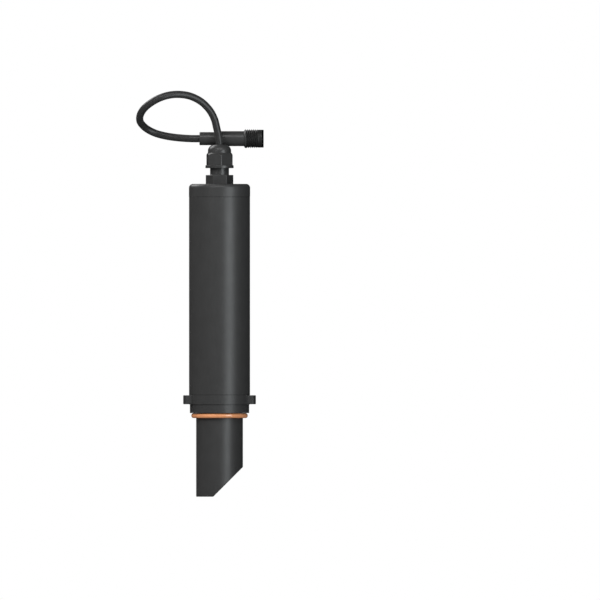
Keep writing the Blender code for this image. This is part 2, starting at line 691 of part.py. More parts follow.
def make_emitter():
    """A 3 mm infrared emitter, dome down, on two legs that reach the board above."""
    tip = LED_SEAT + FIT_GAP
    shoulder = tip + LED_LENGTH
    outline = [
        *arc((0, tip + LED_RADIUS), LED_RADIUS, -90, 0, FILLET_STEPS),
        (LED_RADIUS, shoulder - LED_FLANGE_HEIGHT),
        (LED_FLANGE_RADIUS, shoulder - LED_FLANGE_HEIGHT),
        (LED_FLANGE_RADIUS, shoulder),
        (0, shoulder),
    ]
    outline[0] = (0, tip)
    lamp = add_object("infrared_emitter", revolve(outline, SMALL_STEPS), "led_lens")
    lamp.location.x = EMITTER_OFFSET
    add_legs(lamp, EMITTER_OFFSET, shoulder, OPTICS_BOARD_BOTTOM - FIT_GAP, LEG_SPACING / 2)


def make_photodiode():
    """A flat side-looking photodiode in the block's slot, with a low lens towards the face."""
    low = (PHOTODIODE_BACK, -PHOTODIODE_WIDTH / 2, DETECTOR_Z - PHOTODIODE_HEIGHT / 2)
    high = (PHOTODIODE_FRONT, PHOTODIODE_WIDTH / 2, DETECTOR_Z + PHOTODIODE_HEIGHT / 2)
    diode = add_package("photodiode", low, high, "led_lens")
    middle = (PHOTODIODE_BACK + PHOTODIODE_FRONT) / 2
    add_legs(diode, middle, high[2], OPTICS_BOARD_BOTTOM - FIT_GAP, LEG_SPACING)


def add_legs(part, x, bottom, top, spacing):
    """Joins two square legs onto a component, from just inside its top up to the board."""
    half = LEG_WIDTH / 2
    for name, side in (("front", -1), ("back", 1)):
        y = side * spacing / 2
        low = (x - half, y - half, bottom - LEG_WIDTH)
        high = (x + half, y + half, top)
        combine(part, add_object(f"{part.name}_{name}_leg", block(low, high)), "UNION")


def make_optics_board():
    disc = rod(OPTICS_BOARD_RADIUS, OPTICS_BOARD_BOTTOM, OPTICS_BOARD_TOP, INNER_STEPS)
    add_object("optics_board", disc, "board_green")


def make_optics_component(name, size_mm, place_mm, finish):
    """A component that lies on the optics board."""
    length, width, height = (size * MM for size in size_mm)
    x, y = (place * MM for place in place_mm)
    rest = OPTICS_BOARD_TOP + FIT_GAP
    low = (x - length / 2, y - width / 2, rest)
    add_package(name, low, (x + length / 2, y + width / 2, rest + height), finish)


def add_package(name, low, high, finish):
    """A component's moulded package between two corners, with its edges broken."""
    bm = block(low, high)
    bevel_edges(bm, bm.edges[:], EDGE_BREAK)
    return add_object(name, bm, finish)


def make_optics_ribbon():
    """The flat lead from the optics board, through the neck, to the foot of the main board."""
    start = OPTICS_BOARD_TOP + FIT_GAP
    lead_x = -RIBBON_REACH / 3
    foot = BOARD_FRONT - 2 * FIT_GAP - RIBBON_THICKNESS / 2
    bend = HOLDER_WINDOW_DEPTH / 2
    route = [
        (lead_x, 0, start),
        (lead_x, 0, (start + TIP_TOP) / 2),
        (lead_x / 2, -bend, TIP_TOP + HUB_HEIGHT / 2),
        (0, -bend, NECK_TOP),
        (0, -bend, LOWER_HOLDER_BOTTOM + HOLDER_HEIGHT),
        (0, foot, LOWER_HOLDER_BOTTOM + 1.5 * HOLDER_HEIGHT),
        (0, foot, LOWER_HOLDER_BOTTOM + 1.5 * HOLDER_HEIGHT + RIBBON_REACH / 2),
    ]
    points = smooth_through([Vector(point) for point in route], CORE_STEPS)
    bm = bmesh.new()
    half = RIBBON_WIDTH / 2
    sides = []
    for point in points:
        sides.append([bm.verts.new(point + Vector((offset, 0, 0))) for offset in (-half, half)])
    for lower, upper in zip(sides, sides[1:]):
        bm.faces.new([lower[0], lower[1], upper[1], upper[0]])
    ribbon = add_object("optics_ribbon", bm, "ribbon_grey")
    sheet = ribbon.modifiers.new("thickness", "SOLIDIFY")
    sheet.thickness = RIBBON_THICKNESS
    sheet.offset = 0
    sheet.use_even_offset = True


def make_board_holder(name, bottom, slot_low, slot_high):
    """A disc that fits the tube, slotted for the board's edge, with windows for the leads."""
    top = bottom + HOLDER_HEIGHT
    outline = [
        (0, bottom),
        (SPIGOT_RADIUS - LEAD_IN, bottom),
        (SPIGOT_RADIUS, bottom + LEAD_IN),
        (SPIGOT_RADIUS, top - LEAD_IN),
        (SPIGOT_RADIUS - LEAD_IN, top),
        (0, top),
    ]
    holder = add_object(name, revolve(outline, ROUND_STEPS), "holder_grey")
    half = MAIN_BOARD_WIDTH / 2 + FIT_GAP
    slot = block((-half, BOARD_FRONT - FIT_GAP, slot_low), (half, BOARD_BACK + FIT_GAP, slot_high))
    combine(holder, add_object(name + "_slot", slot))
    near = BOARD_FRONT - FIT_GAP - LEAD_IN
    far = near - HOLDER_WINDOW_DEPTH
    across = HOLDER_WINDOW_WIDTH / 2
    window = block((-across, far, bottom - LEAD_IN), (across, near, top + LEAD_IN))
    combine(holder, add_object(name + "_window", window))


def make_main_board():
    half = MAIN_BOARD_WIDTH / 2
    bm = block((-half, BOARD_FRONT, BOARD_BOTTOM), (half, BOARD_BACK, BOARD_TOP))
    add_object("main_board", bm, "board_green")
    lower_top = LOWER_HOLDER_BOTTOM + HOLDER_HEIGHT
    make_board_holder("lower_board_holder", LOWER_HOLDER_BOTTOM, LOWER_SLOT_FLOOR, lower_top + LEAD_IN)
    upper_bottom = UPPER_HOLDER_TOP - HOLDER_HEIGHT
    make_board_holder("upper_board_holder", upper_bottom, upper_bottom - LEAD_IN, UPPER_SLOT_ROOF)


def make_board_component(name, size_mm, x_mm, height_mm, side, finish):
    """A component that lies flat on the front or the back of the main board."""
    width, height, depth = (size * MM for size in size_mm)
    middle = BOARD_BOTTOM + height_mm * MM
    if side == "front":
        near, far = BOARD_FRONT - FIT_GAP - depth, BOARD_FRONT - FIT_GAP
    else:
        near, far = BOARD_BACK + FIT_GAP, BOARD_BACK + FIT_GAP + depth
    low = (x_mm * MM - width / 2, near, middle - height / 2)
    add_package(name, low, (x_mm * MM + width / 2, far, middle + height / 2), finish)


def make_round_components():
    """The supply capacitor and the drum choke, which stand on the back of the board."""
    beaded = CAPACITOR_RADIUS - BEAD_DEPTH
    can = [
        (0, 0),
        (CAPACITOR_RADIUS, 0),
        (CAPACITOR_RADIUS, 2 * BEAD_DEPTH),
        (beaded, 3 * BEAD_DEPTH),
        (CAPACITOR_RADIUS, 4 * BEAD_DEPTH),
        (CAPACITOR_RADIUS, CAPACITOR_HEIGHT - BEAD_DEPTH),
        (beaded, CAPACITOR_HEIGHT),
        (0, CAPACITOR_HEIGHT),
    ]
    waist = CHOKE_RADIUS - CHOKE_WAIST
    drum = [
        (0, 0),
        (CHOKE_RADIUS, 0),
        (CHOKE_RADIUS, CHOKE_FLANGE),
        (waist, CHOKE_FLANGE),
        (waist, CHOKE_HEIGHT - CHOKE_FLANGE),
        (CHOKE_RADIUS, CHOKE_HEIGHT - CHOKE_FLANGE),
        (CHOKE_RADIUS, CHOKE_HEIGHT),
        (0, CHOKE_HEIGHT),
    ]
    placed = (
        ("supply_capacitor", can, CAPACITOR_PLACE, "capacitor_can"),
        ("supply_choke", drum, CHOKE_PLACE, "chip_black"),
    )
    for name, profile, place, finish in placed:
        part = add_object(name, revolve(profile, SMALL_STEPS), finish)
        part.location = (0, BOARD_BACK + FIT_GAP, BOARD_BOTTOM + place)
        part.rotation_euler = (-math.pi / 2, 0, 0)


def core_places():
    """Each core's name with its place across the terminal and its place in the cable."""
    for index, name in enumerate(CORE_NAMES):
        across = (index - (len(CORE_NAMES) - 1) / 2) * TERMINAL_PITCH
        side = -1 if across < 0 else 1
        row = -1 if index % 2 == 0 else 1
        yield name, across, (side * CORE_SPREAD, row * CORE_SPREAD)


def make_cable_terminal():
    """The four-way terminal that the cable's cores enter from above."""
    half = (len(CORE_NAMES) + 0.2) * TERMINAL_PITCH / 2
    back = BOARD_FRONT - FIT_GAP
    low = (-half, back - TERMINAL_DEPTH, TERMINAL_TOP - TERMINAL_HEIGHT)
    bm = block(low, (half, back, TERMINAL_TOP))
    terminal = add_object("cable_terminal", bm, "terminal_green")
    middle = back - TERMINAL_DEPTH / 2
    floor, roof = TERMINAL_TOP - TERMINAL_ENTRY, TERMINAL_TOP + TERMINAL_ENTRY
    for name, across, _ in core_places():
        cutter = add_object(name + "_entry", rod(CORE_RADIUS + FIT_GAP, floor, roof, PIN_STEPS))
        cutter.location = (across, middle, 0)
        combine(terminal, cutter)


def smooth_through(points, steps):
    """Points of a smooth curve through the given ones, with so many steps to each span."""
    first = 2 * points[0] - points[1]
    last = 2 * points[-1] - points[-2]
    padded = [first, *points, last]
    curve = []
    for before, start, end, after in zip(padded, padded[1:], padded[2:], padded[3:]):
        for step in range(steps):
            t = step / steps
            pull = (end - before) * t + (2 * before - 5 * start + 4 * end - after) * t**2
            curve.append(0.5 * (2 * start + pull + (3 * start - before - 3 * end + after) * t**3))
    curve.append(points[-1])
    return curve


def add_tube(name, points, radius, finish, resolution):
    """A round cord along the points, closed at both ends."""
    curve = bpy.data.curves.new(name, "CURVE")
    curve.dimensions = "3D"
    curve.bevel_depth = radius
    curve.bevel_resolution = resolution
    curve.use_fill_caps = True
    spline = curve.splines.new("POLY")
    spline.points.add(len(points) - 1)
    for target, point in zip(spline.points, points):
        target.co = (*point, 1)
    curve.materials.append(material(finish))
    obj = bpy.data.objects.new(name, curve)
    bpy.context.collection.objects.link(obj)


def make_cores():
    """The four cores, from the end of the cable's sheath down into the terminal."""
    middle = BOARD_FRONT - FIT_GAP - TERMINAL_DEPTH / 2
    top = TAIL_BOTTOM - FIT_GAP
    foot = TERMINAL_TOP - TERMINAL_ENTRY + FIT_GAP
    drop = top - TERMINAL_TOP
    for name, across, (x, y) in core_places():
        route = [
            (x, y, top),
            (x + across / 3, (y + middle) / 2, top - drop / 4),
            (0.75 * across, middle, TERMINAL_TOP + drop / 3),
            (across, middle, TERMINAL_TOP + TERMINAL_ENTRY),
            (across, middle, foot),
        ]
        points = smooth_through([Vector(point) for point in route], CORE_STEPS)
        add_tube(name, points, CORE_RADIUS, name, CORE_ROUNDNESS)


def make_cable_tail():
    """The sheathed end of the cable, clamped in the gland."""
    tail = rod(CABLE_RADIUS, TAIL_BOTTOM, TAIL_TOP, SMALL_STEPS)
    add_object("cable_tail", tail, "cable_black")


def make_gland_body():
    bottom = GLAND_SEAT - GLAND_THREAD_LENGTH
    hex_top = GLAND_SEAT + BODY_HEX_HEIGHT
    neck_top = hex_top + GLAND_NECK_LENGTH
    pocket = CLAW_RADIUS + FIT_GAP
    outline = [
        (GLAND_BORE, bottom),
        (GLAND_THREAD_RADIUS - LEAD_IN, bottom),
        (GLAND_THREAD_RADIUS, bottom + LEAD_IN),
        (GLAND_THREAD_RADIUS, GLAND_SEAT),
        (BODY_HEX_CORNER, GLAND_SEAT),
        (BODY_HEX_CORNER, hex_top),
        (GLAND_NECK_RADIUS, hex_top),
        (GLAND_NECK_RADIUS, neck_top - LEAD_IN),
        (GLAND_NECK_RADIUS - LEAD_IN, neck_top),
        (pocket, neck_top),
        (pocket, GLAND_LEDGE),
        (GLAND_BORE, GLAND_LEDGE),
    ]
    gland = add_object("gland_body", revolve(outline, GLAND_STEPS), "black_nylon")
    inner = (GLAND_NECK_RADIUS + BODY_HEX_FLATS / 2) / 2
    outer = BODY_HEX_CORNER + LEAD_IN
    floor = GLAND_SEAT - LEAD_IN
    roof = hex_top + LEAD_IN
    waste = [(inner, floor), (outer, floor), (outer, roof), (inner, roof)]
    cut_flats(gland, BODY_HEX_FLATS, BODY_HEX_TURN, waste, floor - LEAD_IN, roof + LEAD_IN)
    gasket_radius = GLAND_THREAD_RADIUS + SEAL_GAP
    height = CAP_TOP - GASKET_SECTION / 2
    sides = INNER_SEAL_SIDES
    make_seal("gland_gasket", gasket_radius, GASKET_SECTION, height, sides, INNER_STEPS, "black_rubber")


def make_gland_claw_and_seal():
    """The slotted claw that the nut closes, and the rubber sleeve that it presses on the cable."""
    bottom = GLAND_LEDGE + FIT_GAP
    top = NUT_TOP - NUT_CONE_TOP - FIT_GAP
    inner = CLAW_RADIUS - CLAW_WALL
    outline = [(inner, bottom), (CLAW_RADIUS, bottom), (CLAW_RADIUS, top), (inner, top)]
    claw = add_object("gland_claw", revolve(outline, GLAND_STEPS), "black_nylon")
    half = CLAW_SLOT / 2
    for index in range(CLAW_SLOTS):
        low = (-2 * CLAW_RADIUS, -half, bottom + CLAW_SLOT_BOTTOM)
        slot = add_object(f"claw_slot_{index + 1}", block(low, (2 * CLAW_RADIUS, half, top + CLAW_WALL)))
        slot.rotation_euler.z = math.pi * index / CLAW_SLOTS
        combine(claw, slot)
    seal_inner = CABLE_RADIUS + SEAL_GAP
    seal_outer = seal_inner + GLAND_SEAL_WALL
    sleeve = [(seal_inner, bottom), (seal_outer, bottom), (seal_outer, top), (seal_inner, top)]
    add_object("gland_seal", revolve(sleeve, SMALL_STEPS), "black_rubber")


def make_gland_nut():
    """The domed nut: a turned blank with six flats that stop above its round flange."""
    corner = NUT_BOTTOM + NUT_CORNER_HEIGHT
    shoulder = NUT_BOTTOM + NUT_SHOULDER_HEIGHT
    thread = GLAND_NECK_RADIUS + FIT_GAP
    cone_bottom = NUT_BOTTOM + NUT_THREAD_HEIGHT
    cone_top = NUT_TOP - NUT_CONE_TOP
    flange_top = NUT_BOTTOM + NUT_FLANGE_HEIGHT
    outline = [
        (thread, NUT_BOTTOM),
        (NUT_BLANK_RADIUS - EDGE_BREAK, NUT_BOTTOM),
        (NUT_BLANK_RADIUS, NUT_BOTTOM + EDGE_BREAK),
        (NUT_BLANK_RADIUS, corner),
        (DOME_RADIUS, shoulder),
        *arc((CROWN_Y, NUT_TOP - DOME_ROUNDING), DOME_ROUNDING, 0, 90, 2 * FILLET_STEPS),
        (NUT_MOUTH + NUT_MOUTH_CHAMFER, NUT_TOP),
        (NUT_MOUTH, NUT_TOP - NUT_MOUTH_CHAMFER),
        (NUT_MOUTH, cone_top),
        (CLAW_RADIUS + FIT_GAP, cone_top),
        (thread, cone_bottom),
    ]
    nut = add_object("gland_nut", revolve(outline, GLAND_STEPS), "black_nylon")
    inner = NUT_HEX_FLATS / 2 - EDGE_BREAK
    outer = NUT_BLANK_RADIUS + LEAD_IN
    slope = (NUT_FLANGE_CONE - NUT_FLANGE_HEIGHT) / (NUT_BLANK_RADIUS - inner)
    floor = [
        (outer, flange_top - slope * LEAD_IN),
        (outer, shoulder),
        (inner, shoulder),
        (inner, NUT_BOTTOM + NUT_FLANGE_CONE),
    ]
    cut_flats(nut, NUT_HEX_FLATS, NUT_HEX_TURN, floor, NUT_BOTTOM - LEAD_IN, shoulder + LEAD_IN)


def make_cable():
    """The free cable, from inside the nut's mouth to the back of the plug."""
    mouth = Vector((0, 0, NUT_TOP))
    start = mouth - Vector((0, 0, CABLE_IN_NUT))
    end = Vector((PLUG_START - FIT_GAP, PLUG_Y, PLUG_Z))
    lead_in = end - Vector((CABLE_LEAD_IN, 0, 0))
    route = [start, *(mouth + Vector(point) * MM for point in CABLE_ROUTE), lead_in, end]
    add_tube("cable", smooth_through(route, CABLE_SPAN_STEPS), CABLE_RADIUS, "cable_black", CABLE_ROUNDNESS)


def make_plug():
    """The plug, turned along +X from its strain relief to its threaded mouth."""
    axis = add_empty("plug_axis", (PLUG_START, PLUG_Y, PLUG_Z), (0, math.pi / 2, 0))
    barrel_end = SLEEVE_LENGTH + BARREL_LENGTH
    overmould = [
        (0, 0),
        (SLEEVE_RADIUS - EDGE_BREAK, 0),
        (SLEEVE_RADIUS, EDGE_BREAK),
        (SLEEVE_RADIUS, SLEEVE_LENGTH),
        (BARREL_RADIUS - EDGE_BREAK, SLEEVE_LENGTH),
        (BARREL_RADIUS, SLEEVE_LENGTH + EDGE_BREAK),
        (BARREL_RADIUS, barrel_end),
        (0, barrel_end),
    ]
    add_object("plug_body", revolve(overmould, PLUG_STEPS), "black_nylon", parent=axis)

    cone_end = SHELL_BACK + SHELL_CONE
    land = SHELL_FRONT - SHELL_LAND_LENGTH
    step = SHELL_BACK + SHELL_BACK_WALL
    back_bore = INSERT_SPIGOT_RADIUS + FIT_GAP
    shell = [
        (back_bore, SHELL_BACK),
        (BARREL_RADIUS, SHELL_BACK),
        (SHELL_RADIUS, cone_end),
        (SHELL_RADIUS, land),
        (SHELL_LAND_RADIUS, land),
        (SHELL_LAND_RADIUS, SHELL_FRONT - EDGE_BREAK),
        (SHELL_LAND_RADIUS - EDGE_BREAK, SHELL_FRONT),
        (SOCKET_RADIUS + EDGE_BREAK, SHELL_FRONT),
        (SOCKET_RADIUS, SHELL_FRONT - EDGE_BREAK),
        (SOCKET_RADIUS, step),
        (back_bore, step),
    ]
    add_object("plug_shell", revolve(shell, PLUG_STEPS), "black_nylon", parent=axis)

    disc = SOCKET_RADIUS - FIT_GAP
    insert = [
        (0, SHELL_BACK),
        (INSERT_SPIGOT_RADIUS, SHELL_BACK),
        (INSERT_SPIGOT_RADIUS, INSERT_BACK),
        (disc, INSERT_BACK),
        (disc, INSERT_FACE),
        (0, INSERT_FACE),
    ]
    carrier = add_object("plug_insert", revolve(insert, PLUG_STEPS), "matt_black", parent=axis)
    pin_back = INSERT_BACK
    pin_front = INSERT_FACE + PIN_REACH
    for index in range(PIN_COUNT):
        angle = 2 * math.pi * (index + 0.5) / PIN_COUNT
        place = (PIN_CIRCLE * math.cos(angle), PIN_CIRCLE * math.sin(angle), 0)
        seat = rod(PIN_RADIUS + SEAL_GAP, pin_back - SEAL_GAP, pin_front, PIN_STEPS)
        hole = add_object(f"pin_hole_{index + 1}", seat, parent=axis)
        hole.location = place
        combine(carrier, hole)
        shape = [
            (0, pin_back),
            (PIN_RADIUS, pin_back),
            (PIN_RADIUS, pin_front - PIN_RADIUS),
            (PIN_RADIUS / 2, pin_front),
            (0, pin_front),
        ]
        pin = add_object(f"contact_pin_{index + 1}", revolve(shape, PIN_STEPS), "gold_pin", parent=axis)
        pin.location = place


def main():
    clear_scene()
    make_housing_tube()
    make_top_cap()
    make_bayonet_ring()
    make_end_collar()
    make_fitting_seal()
    make_probe_tip()
    make_tip_locknut()
    make_optics_block()
    make_emitter()
    make_photodiode()
    make_optics_board()
    for component in OPTICS_COMPONENTS:
        make_optics_component(*component)
    make_optics_ribbon()
    make_main_board()
    for component in BOARD_COMPONENTS:
        make_board_component(*component)
    make_round_components()
    make_cable_terminal()
    make_cores()
    make_cable_tail()
    make_gland_body()
    make_gland_claw_and_seal()
    make_gland_nut()
    make_cable()
    make_plug()


main()
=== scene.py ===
"""The looks of a turbidity sensor: an insertion probe with a bayonet ring, a 45 degree optical tip,
a cable gland and a cable that loops back to its threaded plug.

Metres, +Z up, and -Y is the front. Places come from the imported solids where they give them.
"""

import json
import math

import bmesh
import bpy
from mathutils import Matrix, Vector


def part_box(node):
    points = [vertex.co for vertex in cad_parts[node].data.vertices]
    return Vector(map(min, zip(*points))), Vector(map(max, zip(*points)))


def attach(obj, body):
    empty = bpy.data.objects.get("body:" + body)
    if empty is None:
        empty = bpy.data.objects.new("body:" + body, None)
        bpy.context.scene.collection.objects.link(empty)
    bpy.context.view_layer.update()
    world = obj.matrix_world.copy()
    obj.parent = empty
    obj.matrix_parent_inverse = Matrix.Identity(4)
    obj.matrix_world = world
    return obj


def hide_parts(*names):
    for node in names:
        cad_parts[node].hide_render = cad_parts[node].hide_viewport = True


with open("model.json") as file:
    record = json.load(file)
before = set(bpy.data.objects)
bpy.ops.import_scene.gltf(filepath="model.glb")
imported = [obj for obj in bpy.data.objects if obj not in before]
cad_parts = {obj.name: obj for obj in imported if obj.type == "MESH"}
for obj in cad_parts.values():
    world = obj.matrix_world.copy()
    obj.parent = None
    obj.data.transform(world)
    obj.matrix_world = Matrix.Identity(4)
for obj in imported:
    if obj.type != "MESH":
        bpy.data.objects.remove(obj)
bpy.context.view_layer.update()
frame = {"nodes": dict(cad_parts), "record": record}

MM = 0.001

# Mesh fineness: steps round a turn, then in the curves of a profile
BODY_STEPS = 192
NUT_STEPS = 240
PLUG_STEPS = 96
SMALL_STEPS = 64
PIN_STEPS = 24
SEAL_STEPS = 48
LUG_STEPS = 16
LUG_EDGE_STEPS = 4
TIP_EDGE_STEPS = 3
CORNER_STEPS = 6
CONE_STEPS = 8
SHOULDER_STEPS = 40
FLOOR_STEPS = 96
CABLE_ROUNDNESS = 10

# Points this close become one, and edges sharper than these angles show as creases
MERGE = 1e-7
SHARP_ANGLE = math.radians(40)
CREASE_ANGLE = math.radians(30)

# Seams between pieces that are screwed or pressed together, too fine for light to pass, the grooves at
# two seams that hold bands of painted shade, and broken edges
SEAM = 0.001 * MM
SEAM_EDGE = 0.07 * MM
SEAM_GROOVE = 0.15 * MM
SEAM_DEPTH = 0.3 * MM
EDGE = 0.12 * MM

# Probe
TUBE_BORE = 17.2 * MM
SPIGOT_CLEARANCE = 0.1 * MM
CAP_HEIGHT = 8.3 * MM
CAP_FILLET = 2.6 * MM
CAP_HOLE = 6.1 * MM
CAP_ROOF = 5.5 * MM
CAP_BORE = 13.0 * MM
COLLAR_HEIGHT = 5.5 * MM
LUG_HALF_WIDTH = 8.5 * MM
LUG_EDGE = 0.45 * MM
TIP_EDGE = 0.4 * MM
TIP_RIM_TOP = -5.0 * MM
SEAL_SQUEEZE = 0.03 * MM
SEAL_LINE = 0.03 * MM
NECK_RADIUS = 13.6 * MM
NECK_CLEARANCE = 0.2 * MM
TIP_BORE = 10.8 * MM
CAVITY_TOP = 40.0 * MM
TIP_FLOOR = 3.2 * MM
FACE_HEIGHT = 19.5 * MM
FACE_WALL = 4.0 * MM
FACE_TURN = math.radians(135)
WINDOW_RADIUS = 2.5 * MM
WINDOW_THICKNESS = 2.0 * MM
WINDOW_GLUE = 0.3 * MM
BOND_GAP = 0.01 * MM
BOND_RECESS = 0.06 * MM
POCKET_REACH = 3.0 * MM
BEAM_RADIUS = 1.5 * MM
EMITTER_X = 7.7 * MM
DETECTOR_RISE = 7.6 * MM

# Gland
HEX_SOFTNESS = 0.10 * MM
HEX_ROUNDING = 0.3 * MM
BODY_HEX_FLATS = 15.8 * MM
BODY_HEX_TOP = 5.85 * MM
BODY_HEX_CHAMFER = 0.35 * MM
BODY_HEX_TURN = math.radians(1)
GLAND_THREAD_RADIUS = 6.0 * MM
GLAND_NECK_RADIUS = 6.22 * MM
GLAND_NECK_FOOT = 0.2 * MM
GLAND_NECK_EDGE = 0.4 * MM
GLAND_BORE = 3.0 * MM
CLAW_POCKET = 4.0 * MM
NUT_HEX_FLATS = 16.3 * MM
NUT_HEX_TURN = math.radians(-23)
NUT_BLANK_RADIUS = 9.25 * MM
NUT_CLEARANCE = 0.15 * MM
NUT_THREAD_HEIGHT = 7.0 * MM
NUT_CONE_TOP = 2.5 * MM
NUT_FLANGE_HEIGHT = 1.8 * MM
NUT_FLANGE_CONE = 2.2 * MM
NUT_FLANGE_EDGE = 0.25 * MM
NUT_MOUTH_EDGE = 0.35 * MM
NUT_CORNER_HEIGHT = 8.6 * MM
NUT_SHOULDER_HEIGHT = 10.1 * MM
DOME_RADIUS = 7.65 * MM
DOME_ROUNDING = 4.2 * MM

# Cable and plug
CABLE_RADIUS = 2.4 * MM
CABLE_SPAN_STEPS = 6
CABLE_CLEARANCE = 0.005 * MM
CABLE_IN_NUT = 3.9 * MM
CABLE_IN_PLUG = 2.0 * MM
CABLE_LEAD_IN = 4.2 * MM
SLEEVE_RADIUS = 4.3 * MM
SLEEVE_LENGTH = 12.2 * MM
SLEEVE_EDGE = 0.5 * MM
BARREL_RADIUS = 4.93 * MM
SHELL_CONE = 0.9 * MM
SHELL_COLLAR = 1.3 * MM
SHELL_LAND_RADIUS = 5.84 * MM
SHELL_LAND_LENGTH = 3.1 * MM
SHELL_BACK_WALL = 1.5 * MM
SHELL_BACK_BORE = 3.6 * MM
SOCKET_RADIUS = 4.5 * MM
THREAD_PITCH = 1.312 * MM
THREAD_DEPTH = 0.62 * MM
THREAD_RADIUS = 6.11 * MM
THREAD_PLACE = 1.64 * MM
THREAD_RIDGE = 0.15 * MM
THREAD_SAMPLES = 12
RIM_WIDTH = 1.05 * MM
RIM_EDGE = 0.3 * MM
PIN_COUNT = 4
PIN_RADIUS = 0.5 * MM
PIN_ROUNDING = 0.4 * MM

# Camera: the width of its view and its place, in metres
VIEW_WIDTH = 0.3937
CAMERA_PLACE = (0.0528, -1.5, 0.0742)

# Floor: its radius and the ring in which it fades out, in metres, then how pale it is seen, and how
# pale it is for the light that it throws back
FLOOR_RADIUS = 0.7
FLOOR_FADE_START = 0.2
FLOOR_MARGIN = 0.02
FLOOR_SEEN = 0.86
FLOOR_THROWN = 0.45
FLOOR_ROUGHNESS = 0.9

# Lighting: where the softboxes point, how bright the unseen surroundings are, then each softbox's
# azimuth from the front and elevation in degrees, distance, width and height in metres, power in
# watts, tint, and whether it is reflected
AIM = Vector((0, 0, 0.05))
AMBIENT = 0.007
NEUTRAL = (1.0, 1.0, 1.0)
COOL = (0.93, 0.98, 1.0)
LIGHTS = [
    ("right_strip", 38, 0, 0.9, (0.42, 0.9), 4.5, COOL, True),
    ("top_front", 0, 48, 0.9, (0.8, 0.18), 1.8, NEUTRAL, True),
    ("back_left_top", -131, 45, 0.9, (0.65, 0.5), 4.2, NEUTRAL, True),
    ("left_fill", -42, 28, 1.2, (0.5, 0.7), 9.1, NEUTRAL, False),
    ("front_fill", 0, 28, 1.2, (0.5, 0.7), 2.4, NEUTRAL, False),
    ("right_back_fill", 150, 25, 1.2, (0.6, 0.7), 3.0, NEUTRAL, False),
]

# The cable's route in millimetres from the nut's mouth, as in the solid
CABLE_ROUTE = [
    (-0.15, 0.0, 2.3),
    (-0.8, 0.0, 6.3),
    (-1.9, -0.2, 11.0),
    (-3.4, -1.0, 16.8),
    (-6.6, -2.6, 22.7),
    (-12.0, -5.0, 28.1),
    (-19.1, -7.6, 31.7),
    (-26.4, -9.9, 32.9),
    (-33.2, -11.6, 32.4),
    (-39.6, -12.4, 30.4),
    (-45.3, -11.3, 27.2),
    (-49.6, -7.9, 23.5),
    (-52.0, -2.6, 19.5),
    (-52.3, 3.2, 15.9),
    (-50.9, 8.2, 13.2),
    (-47.4, 12.0, 10.1),
    (-42.0, 13.9, 7.4),
    (-35.2, 13.7, 5.6),
    (-28.5, 12.0, 4.6),
    (-22.8, 9.8, 4.1),
]


def grey(value):
    """A linear neutral colour from the 0 to 255 value that a screen shows."""
    return colour(value, value, value)


def colour(red, green, blue):
    """A linear colour from the 0 to 255 values that a screen shows."""

    def linear(value):
        share = value / 255
        return share / 12.92 if share <= 0.04045 else ((share + 0.055) / 1.055) ** 2.4

    return (linear(red), linear(green), linear(blue), 1.0)


# Materials

WAVE_PERIOD = 0.314  # of the wave texture at scale 1


